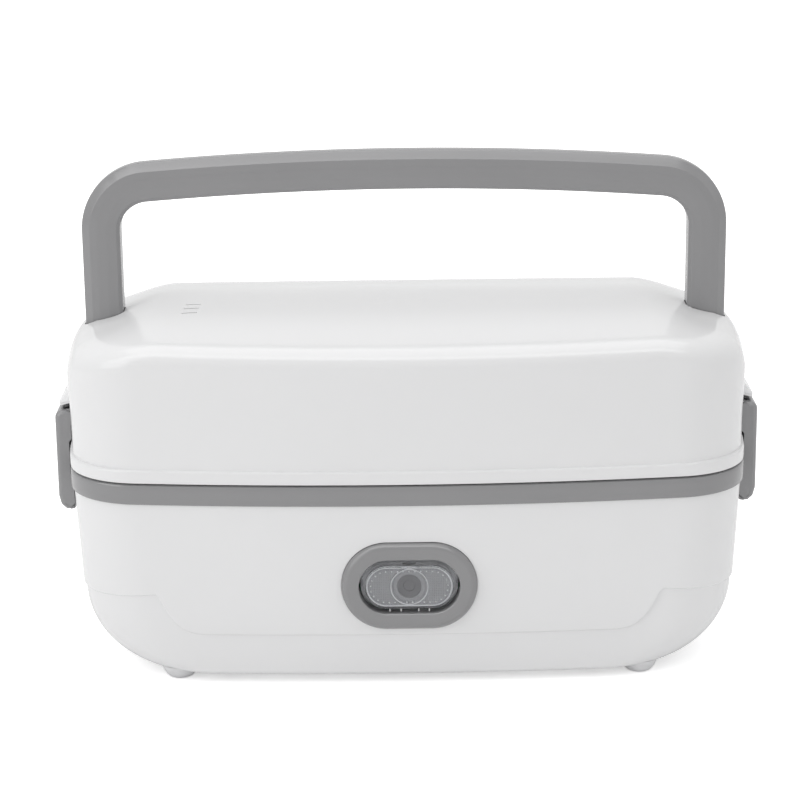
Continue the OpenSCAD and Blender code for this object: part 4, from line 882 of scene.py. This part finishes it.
def handle_line():
    """Centre line as x, z and the angle of the outward normal: leg, bend, bow, bend, leg."""
    leg = np.c_[np.full(14, LEG_X), np.linspace(LEG_FOOT, BEND_Z, 14), np.zeros(14)]
    a = np.linspace(0, math.pi / 2 - BOW_ANGLE, 28)[1:]
    bend = np.c_[BEND_X + BEND_R * np.cos(a), BEND_Z + BEND_R * np.sin(a), a]
    b = np.linspace(math.pi / 2 - BOW_ANGLE, math.pi / 2, 20)[1:]
    bow = np.c_[BOW_R * np.cos(b), BOW_Z + BOW_R * np.sin(b), b]
    half = np.concatenate([leg, bend, bow])
    other = half[-2::-1] * [-1, 1, -1] + [0, 0, math.pi]
    return np.concatenate([half, other])


section = rounded([(-6.7, -3.9), (-5.5, -5.1), (-2.2, -5.5), (1.2, -5.5), (3.8, -5.0), (6.7, -2.4),
                   (6.7, 2.4), (3.8, 5.0), (1.2, 5.5), (-2.2, 5.5), (-5.5, 5.1), (-6.7, 3.9)],
                  [0.3, 0.3, 4, 6, 0.6, 1.6, 1.6, 0.6, 6, 4, 0.3, 0.3], 6)
path = handle_line()
radial = np.stack([np.cos(path[:, 2]), np.sin(path[:, 2])], -1)
x = path[:, None, 0] + section[None, :, 0] * radial[:, None, 0]
z = path[:, None, 1] + section[None, :, 0] * radial[:, None, 1]
y = np.broadcast_to(section[None, :, 1], x.shape)
handle = surface("carry_handle", np.stack([x, y, z], -1), caps=True)
for side in (-1, 1):
    screw_line = circle(side * LEG_X, 0, SCREW_R, 32)
    cut(handle, prism_z("screw_hole", screw_line, LEG_FOOT - 1.5, SCREW_TOP))
dress(handle, "handle", "grey_plastic", "handle", crease=24)

# %% [markdown]
# ## Latches
# Each latch is a plate that hangs on the pin and hooks under the catch: a flat face with soft edges, a
# round top, a chamfered finger edge at the bottom and a cheek at each side. A solid block with the
# outer shape is built first and hollowed from the lid's side; the left latch is its mirror image.

# %% Latch block
LATCH_HALF, CHEEK_T, LATCH_EDGE = 15.5, 1.8, 2.0
latch_line = rounded([(117.2, 51.6), (120.2, 51.6), (122.0, 53.3), (122.8, 56.4), (122.8, 87.6),
                      (118.4, 87.6), (115.4, 86.2), (115.4, 84.6), (117.3, 82.6), (117.3, 77.3),
                      (118.15, 76.5), (118.15, 64.7), (117.2, 63.9), (117.13, 54.0)],
                     [0.3, 1.0, 1.2, 1.6, 2.6, 1.6, 0.9, 0.6, 0.3, 0.3, 0.3, 0.3, 0.3, 0.3], 7)
along_line = np.roll(latch_line, -1, 0) - np.roll(latch_line, 1, 0)
outward = unit_rows(np.c_[along_line[:, 1], -along_line[:, 0]])
# The soft edge belongs to the outer face and the finger edge; towards the lid the block stays square.
near_face, near_foot = (latch_line[:, 0] - 118.9) / 1.3, (52.6 - latch_line[:, 1]) / 0.8
outer_share = smooth_step(np.maximum(near_face, near_foot))[:, None]
edge_turn = np.linspace(0, 1.35, 9)
latch_y = LATCH_HALF - LATCH_EDGE * (1 - np.sin(edge_turn))
latch_in = LATCH_EDGE * (1 - np.cos(edge_turn))
half_rows = np.array([np.insert(latch_line - outward * outer_share * d, 1, y, axis=1)
                      for y, d in zip(latch_y, latch_in)])
latch_rows = np.concatenate([half_rows[::-1], half_rows * [1, -1, 1]])
latch = surface("latch_flap_right", latch_rows, caps=True)

# %% Latch hollow and hook
PIN_ROOM, BORE_R, EAR_ROOM = 2.4, 1.05, 1.75
round_pin = np.linspace(0, math.pi / 2, 12)
hollow = np.concatenate([[(113, 53.4), (118.6, 53.4), (120.9, 56.8)],
                         np.c_[PIN_X + PIN_ROOM * np.cos(round_pin), PIN_Z + PIN_ROOM * np.sin(round_pin)],
                         [(PIN_X, 90), (113, 90)]])
cut(latch, prism_y("hollow", hollow, -LATCH_HALF + CHEEK_T, LATCH_HALF - CHEEK_T))
ear_slot = [(118.1, 86.2), (PIN_X + 1.27, PIN_Z + 2.04), (121.25, 89.24), (118.1, 90)]
for y in (-EAR_Y, EAR_Y):
    cut(latch, prism_y("ear_room", ear_slot, y - EAR_ROOM, y + EAR_ROOM))
cut(latch, prism_y("bore", circle(PIN_X, PIN_Z, BORE_R, 48), -14.9, 17))
hook_line = rounded([(121.4, 64.4), (119.0, 64.4), (119.0, 63.3), (121.4, 60.5)], 0.15, 3)
combine(latch, prism_y("hook", hook_line, -7.5, 7.5), "UNION")
latch_left = mirrored("latch_flap_left", latch)
dress(latch, "latch_right", "grey_plastic", "latch_right", crease=28)
dress(latch_left, "latch_left", "grey_plastic", "latch_left", crease=28)

# %% [markdown]
# ## Button
# The push button is a clear cap in a grey ring. The ring's flange lies on the casing and its neck goes
# through. The cap has a flange and a raised field. The back of the field is knurled and edged with a
# light line and a row of beads. The beads are painted glints: solid light plastic dots that stand where
# small prisms in the clear cap catch the light. In the middle sits a small bowl with a light rim and a dark
# eye, which moves with the cap; the lamp stands in its own cup behind it.

# %% Button ring
def grown(w, h):
    """A stadium whose outline is moved out by the step's first value."""
    return lambda v: stadium(w + 2 * v, h + 2 * v)


ON_CASING = (facing_front, BEZEL_SEAT, BUTTON_Z)
OPENING_W, OPENING_H, BOARD_Y, STUD_X = 34.3, 19.0, BEZEL_FRONT + 15.2, 16.7
ring_steps = [(0, 0.0), (0, 0.5), (-0.08, 0.85), (-0.3, 1.25), (-0.7, 1.75), (-1.1, 2.15), (-1.5, 2.42),
              (-1.95, 2.56), (-2.4, 2.6)]
inner_steps = [(0.7, 2.6), (0.3, 2.5), (0.06, 2.25), (0, 1.9), (0, -3.6)]
neck_steps = [(1.7, -3.6), (1.7, -12.6), (3.0, -12.6), (3.0, 0.0)]
ring_rows = np.concatenate([stack(grown(RING_W, RING_H), ring_steps, *ON_CASING),
                            stack(grown(OPENING_W, OPENING_H), inner_steps + neck_steps, *ON_CASING)])
button_ring = surface("button_ring", ring_rows, wrap=True)
for side in (-1, 1):
    stud_foot = (side * STUD_X, BOARD_Y, BUTTON_Z)
    stud = turned("stud", [(0, 0), (1.9, 0), (1.9, 5.0), (0, 5.0)], stud_foot, 48, facing_front)
    combine(button_ring, stud, "UNION")
dress(button_ring, "base", "grey_plastic", "button_bezel")

# %% Clear cap
CAP_BACK, CAP_W, CAP_H, FIELD_LOW = BEZEL_FRONT + 6.5, 33.2, 17.9, 0.6
FIELD_Z = BUTTON_Z - FIELD_LOW


def cap_rows(steps):
    """Rows of a stadium shape that stands on the back of the cap. What lies further in than 1.2 mm, the
    raised field, hangs a little lower."""
    rows = stack(grown(CAP_W, CAP_H), steps, facing_front, CAP_BACK, BUTTON_Z)
    rows[..., 2] -= FIELD_LOW * smooth_step(-np.array([v for v, h in steps]) / 1.2)[:, None]
    return rows


outer_cap = [(0, 0), (0, 3.5), (-0.1, 3.85), (-0.4, 4.05), (-1.15, 4.1), (-1.4, 4.2), (-1.45, 4.9),
             (-1.6, 5.3), (-2.0, 5.5), (-2.6, 5.5), (-3.4, 5.47), (-4.6, 5.43), (-6.2, 5.4), (-8.95, 5.4)]
inner_cap = [(-8.95, 3.9), (-6.2, 3.9), (-4.6, 3.9), (-3.4, 3.9), (-2.2, 3.9), (-1.95, 3.75), (-1.9, 3.5),
             (-1.9, 0)]
cap = surface("button_lens", cap_rows(inner_cap + outer_cap))
dress(cap, "button", "clear_plastic", "button_cap")

# %% Knurled field
KNURL_PITCH, KNURL_DEPTH = 0.62, 0.16
PAD_FRONT, PAD_LESS = 3.55, 4.6
ACROSS, UPWARD = np.arange(-52, 53), np.arange(-24, 25)
ON_FIELD = (facing_front, CAP_BACK, FIELD_Z)


def on_field(name, profile, steps=64, x=0, z=0):
    """A profile turned about an axis that points to the front and starts at the back of the field."""
    return turned(name, profile, (x, CAP_BACK, FIELD_Z + z), steps, facing_front)


def knurled_pad():
    """A stadium plate whose front is a grid of small pyramids, z = depth * max(0, 1 - 2 max(|u|, |v|)),
    where u and v run from -1/2 to 1/2 over one pitch. It is cut from a square grid with a plain back."""
    px, py = np.meshgrid(ACROSS * (KNURL_PITCH / 2), UPWARD * (KNURL_PITCH / 2))
    peak = (ACROSS % 2 == 1)[None, :] & (UPWARD % 2 == 1)[:, None]
    front = np.stack([px, py, PAD_FRONT - KNURL_DEPTH + KNURL_DEPTH * peak], -1)
    back = front * [1, 1, 0] + [0, 0, -0.1]
    rows, columns = px.shape
    index = np.arange(rows * columns).reshape(rows, columns)
    quads = np.stack([index[:-1, :-1], index[:-1, 1:], index[1:, 1:], index[1:, :-1]], -1)
    quads = quads.reshape(-1, 4)
    border = np.concatenate([index[0, :-1], index[:-1, -1], index[-1, :0:-1], index[:0:-1, 0]])
    after = np.roll(border, -1)
    skirt = np.stack([border + rows * columns, after + rows * columns, after, border], -1)
    points = facing_front(np.concatenate([front.reshape(-1, 3), back.reshape(-1, 3)]), CAP_BACK, FIELD_Z)
    faces = np.concatenate([quads, quads[:, ::-1] + rows * columns, skirt]).tolist()
    return mesh_object("knurled_pad", points, faces)


pad = knurled_pad()
combine(pad, block("trim", stadium(CAP_W - PAD_LESS, CAP_H - PAD_LESS), -1, 5, *ON_FIELD), "INTERSECT")
cut(pad, on_field("cup_hole", [(0, -1), (6.55, -1), (6.55, 6), (0, 6)]))

# %% Carrier, bowl and eye
ON_CAP = (facing_front, CAP_BACK, BUTTON_Z)
carrier = block("carrier", rounded_box(27, 16, 2.4, 6), -1.5, -0.5, *ON_CAP)
plate_steps = [(-0.3, -0.9), (-0.1, -0.7), (-0.1, -0.2), (-0.25, -0.02)]
plate_rows = stack(grown(CAP_W, CAP_H), plate_steps, *ON_CAP)
combine(carrier, surface("backing", plate_rows, caps=True), "UNION")
cup_hole = [(0, -3), (6.95, -3), (6.95, 3), (0, 3)]
cut(carrier, turned("cup_hole", cup_hole, (0, CAP_BACK, BUTTON_Z), 64, facing_front))
bowl_profile = [(6.48, 3.2), (6.48, 3.62), (6.1, 3.62), (5.75, 3.45), (5.4, 3.05), (4.7, 2.85), (4.4, 2.85),
                (4.2, 2.7), (4.2, 2.3), (4.6, 2.25), (5.3, 2.5), (5.7, 2.85), (6.48, 3.2)]
bowl = on_field("bowl", bowl_profile)
dress(merge("knurled_field", [pad, carrier, bowl]), "button", "grey_plastic", "button_carrier", crease=15)
eye_profile = [(0, 1.72), (2.5, 1.72), (4.1, 2.25), (4.15, 2.6), (3.9, 2.65), (2.6, 2.2), (2.3, 2.25),
               (2.05, 2.2), (1.9, 1.95), (0, 1.85)]
dress(on_field("button_eye", eye_profile, 40), "button", "lamp_smoke", "button_carrier")

# %% Beads
# The beads are painted glints: light plastic dots where small prisms of the clear cap catch the light.
BEAD_R, BEAD_STEP, BEAD_LESS, LINE_LESS = 0.3, 2.0, 6.8, 4.1
bead_line = stadium(CAP_W - BEAD_LESS, CAP_H - BEAD_LESS)
gaps = np.linalg.norm(np.roll(bead_line, -1, 0) - bead_line, axis=1)
travel = np.concatenate([[0], np.cumsum(gaps)])
count = round(travel[-1] / BEAD_STEP)
spots = np.arange(count) * travel[-1] / count
closed = np.concatenate([bead_line, bead_line[:1]])
bead_x, bead_y = np.interp(spots, travel, closed[:, 0]), np.interp(spots, travel, closed[:, 1])
bead_dome = [(BEAD_R * math.cos(a), 3.5 + BEAD_R * math.sin(a)) for a in np.linspace(0, 1.5, 6)]
bead_profile = [(0, 3.3), (BEAD_R, 3.3)] + bead_dome + [(0, 3.5 + BEAD_R)]
beads = [on_field("bead", bead_profile, 12, bx, bz) for bx, bz in zip(bead_x, bead_y)]
rib_line = rounded_box(0.4, 1.0, 0.12, 3)
beads += [block("rib", rib_line + [rx, -7.9], 4.0, 5.1, *ON_FIELD) for rx in (-6.7, -2.9, 3.1, 6.7)]
line_steps = [(0, 2.95), (0, 3.78), (-0.38, 3.78), (-0.38, 2.95)]
light_line = stack(grown(CAP_W - LINE_LESS, CAP_H - LINE_LESS), line_steps, *ON_FIELD)
beads.append(surface("edge_line", light_line, wrap=True))
rim_profile = [(6.5, 3.63), (6.42, 3.78), (6.2, 3.78), (6.12, 3.63), (6.5, 3.63)]
beads.append(on_field("bowl_rim", rim_profile))
# Light plastic for the painted glint beads, and for the ribs, the edge line and the bowl rim.
dress(merge("glint_beads_and_trim", beads), "button", "inner_plastic", "button_carrier")

# %% Lamp cup and lamp
cup_profile = [(0, 0), (6.35, 0.0), (6.35, 9.6), (6.1, 9.8), (5.9, 9.7), (5.4, 9.0), (4.3, 6.3), (4.1, 6.2),
               (3.0, 4.3), (2.9, 4.0), (0, 4.0)]
cup = turned("lamp_cup", cup_profile, (0, BOARD_Y, BUTTON_Z), 64, facing_front)
dress(cup, "base", "inner_plastic", "lamp_reflector")
dome = [(2.5 * math.cos(a), 6 + 2.5 * math.sin(a)) for a in np.linspace(0.1, math.pi / 2, 12)]
lamp_profile = [(0, 4.05), (2.4, 4.05), (2.5, 4.2), (2.5, 6.0)] + dome
lamp = turned("lamp_bulb", lamp_profile, (0, BOARD_Y, BUTTON_Z), 40, facing_front)
dress(lamp, "base", "lamp_smoke", "indicator_lamp")

# %% [markdown]
# ## Power inlet
# The socket in the back wall takes the plug of a cord: a black insert with a soft-edged flange, a mouth
# whose two upper corners are cut off, and three flat blades standing in it. The mouth and the blades are
# cut and joined on a block, which keeps the profile of the mouth sharp.

# %% Inlet
ON_BACK = (facing_back, INLET_SEAT, INLET_Z)
flange_steps = [(0, 0), (0, 1.7), (-0.12, 2.15), (-0.4, 2.45), (-0.8, 2.6)]
inlet_rows = stack(lambda v: rounded_box(33.5 + 2 * v, 26 + 2 * v, 4 + v), flange_steps, *ON_BACK)
inlet = surface("power_socket", inlet_rows, caps=True)
combine(inlet, block("socket_body", rounded_box(27.9, 20.4, 2), -13.9, 0.5, *ON_BACK), "UNION")
mouth_line = rounded([(-12.25, -8.5), (12.25, -8.5), (12.25, 3.5), (7.25, 8.5), (-7.25, 8.5),
                      (-12.25, 3.5)], 0.8, 5)
mouth_rows = stack(lambda v: mouth_line * (1 + v), [(0, -11.9), (0, 2.3), (0.03, 2.65)], *ON_BACK)
cut(inlet, surface("socket_mouth", mouth_rows, caps=True))
BLADE_STEPS = [(0, -14.9), (0, -3.4), (-0.25, -2.7), (-0.6, -2.4)]


def blade(spot):
    """A flat blade whose tip narrows, more in its width than in its thickness."""
    rows = stack(lambda v: rounded_box(1.98 + 1.2 * v, 3.98 + 2 * v, 0.3) + spot, BLADE_STEPS, *ON_BACK)
    return surface("blade", rows, caps=True)


blade_places = [(-7, -1.5), (0, 2.5), (7, -1.5)]
for spot in blade_places:
    cut(inlet, block("blade_hole", rounded_box(2, 4, 0.05, 2) + spot, -16, -10, *ON_BACK))
dress(inlet, "base", "black_plastic", "power_inlet")
dress(merge("socket_blades", [blade(spot) for spot in blade_places]), "base", "blade_metal", "inlet_blades")

# %% [markdown]
# ## Vessels
# Under the lid stand an upper dish with a clear cover, and below them the steel pot in the water pan.
# All are trays with a rounded foot: the outer skin goes from the middle of the underside up to the
# flange, and the inner one comes back down to the middle of the floor.

# %% Trays
def tray_wall(hw, hd, z0, z1, corner, slope, bow, foot_r):
    """Rows of a tray's floor, and of its wall: the foot arc, in = slope + r (1 - cos a) and z = z0 +
    r (1 - sin a), then the mouth, where the wall has opened out by the slope."""
    rows = []
    for a in np.linspace(math.pi / 2, 0, 9):
        inset = slope + foot_r * (1 - math.cos(a))
        line = outline(hw - inset, hd - inset, bow, END_BOW, max(corner - inset, 4))
        rows.append(ring(line, z0 + foot_r * (1 - math.sin(a))))
    floor_in = slope + foot_r
    floor_line = outline(hw - floor_in, hd - floor_in, bow, END_BOW, max(corner - floor_in, 4))
    return flat(floor_line, z0)[::-1], np.array(rows + [ring(outline(hw, hd, bow, END_BOW, corner), z1)])


def tray(name, outer, inner, flange, thick, form):
    """A tray with a flange whose rim is rounded over half its thickness. Outer and inner give the half
    sizes, heights and corner radius of the two skins, and form their slope, bow and foot radius."""
    under, outside = tray_wall(*outer, *form)
    floor_rows, inside_rows = tray_wall(*inner, *form)
    (flange_hw, flange_hd, corner), bow, z = flange, form[1], outer[3]
    steps = [(0.0, 0), (0.0, thick * 0.5), (-0.1, thick * 0.85), (-0.35, thick)]
    rim = [ring(outline(flange_hw + v, flange_hd + v, bow, END_BOW, corner), z + h) for v, h in steps]
    return surface(name, np.concatenate([under, outside, rim, inside_rows[::-1], floor_rows[::-1]]))


STEEL_FORM, DISH_FORM = (3, PAN_BOW, 7), (2, FRONT_BOW, 5)
pan = tray("water_tray", (PAN_HW + 1.2, PAN_HD + 1.2, 22.0, 67.5, PAN_CORNER),
           (PAN_HW, PAN_HD, 23.2, 68.5, PAN_CORNER), (109.5, 43, PAN_CORNER), 1.0, STEEL_FORM)
dress(pan, "base", "steel", "water_pan")
pot = tray("steel_pot", (PAN_HW - 1.4, PAN_HD - 1.4, 29.2, 68.5, PAN_CORNER),
           (PAN_HW - 2.2, PAN_HD - 2.2, 30.0, 69.3, PAN_CORNER), (108.5, 42, PAN_CORNER), 0.8, STEEL_FORM)
dress(pot, "base", "steel", "food_pot")
DISH_HW, DISH_HD, DISH_CORNER, DISH_Z0, DISH_Z1 = 92.7, 48.0, 22, 71.4, 101.4
dish = tray("upper_tray", (DISH_HW - 1.5, DISH_HD - 1.5, DISH_Z0, DISH_Z1 - 2, 20.5),
            (DISH_HW - 3.1, DISH_HD - 3.1, DISH_Z0 + 1.6, DISH_Z1, 18.9),
            (DISH_HW, DISH_HD, DISH_CORNER), 2.0, DISH_FORM)
dress(dish, "base", "vessel_white", "upper_dish")

# %% Dish cover
def cover_line(v):
    """The rim of the dish, moved out."""
    return outline(DISH_HW + v, DISH_HD + v, FRONT_BOW, END_BOW, DISH_CORNER + v)


cover_steps = [(-7.6, 1.6), (-7.6, -2.6), (-7.2, -3), (-4.3, -3), (-4, -2.7), (-4, 0.02), (-0.3, 0.02),
               (0, 0.3), (0, 1.1), (-0.5, 1.6), (-5.7, 1.65), (-6, 1.9), (-6.1, 2.5), (-6.9, 3.2)]
cover_rows = [ring(cover_line(v), DISH_Z1 + z) for v, z in cover_steps]
roof = flat(cover_line(-7.6), DISH_Z1 + 1.6)[::-1]
top = flat(cover_line(-6.9), DISH_Z1 + 3.2)
dish_cover = surface("dish_lid", np.concatenate([roof[:-1], cover_rows, top[1:]]))
dress(dish_cover, "base", "vessel_clear", "dish_cover")
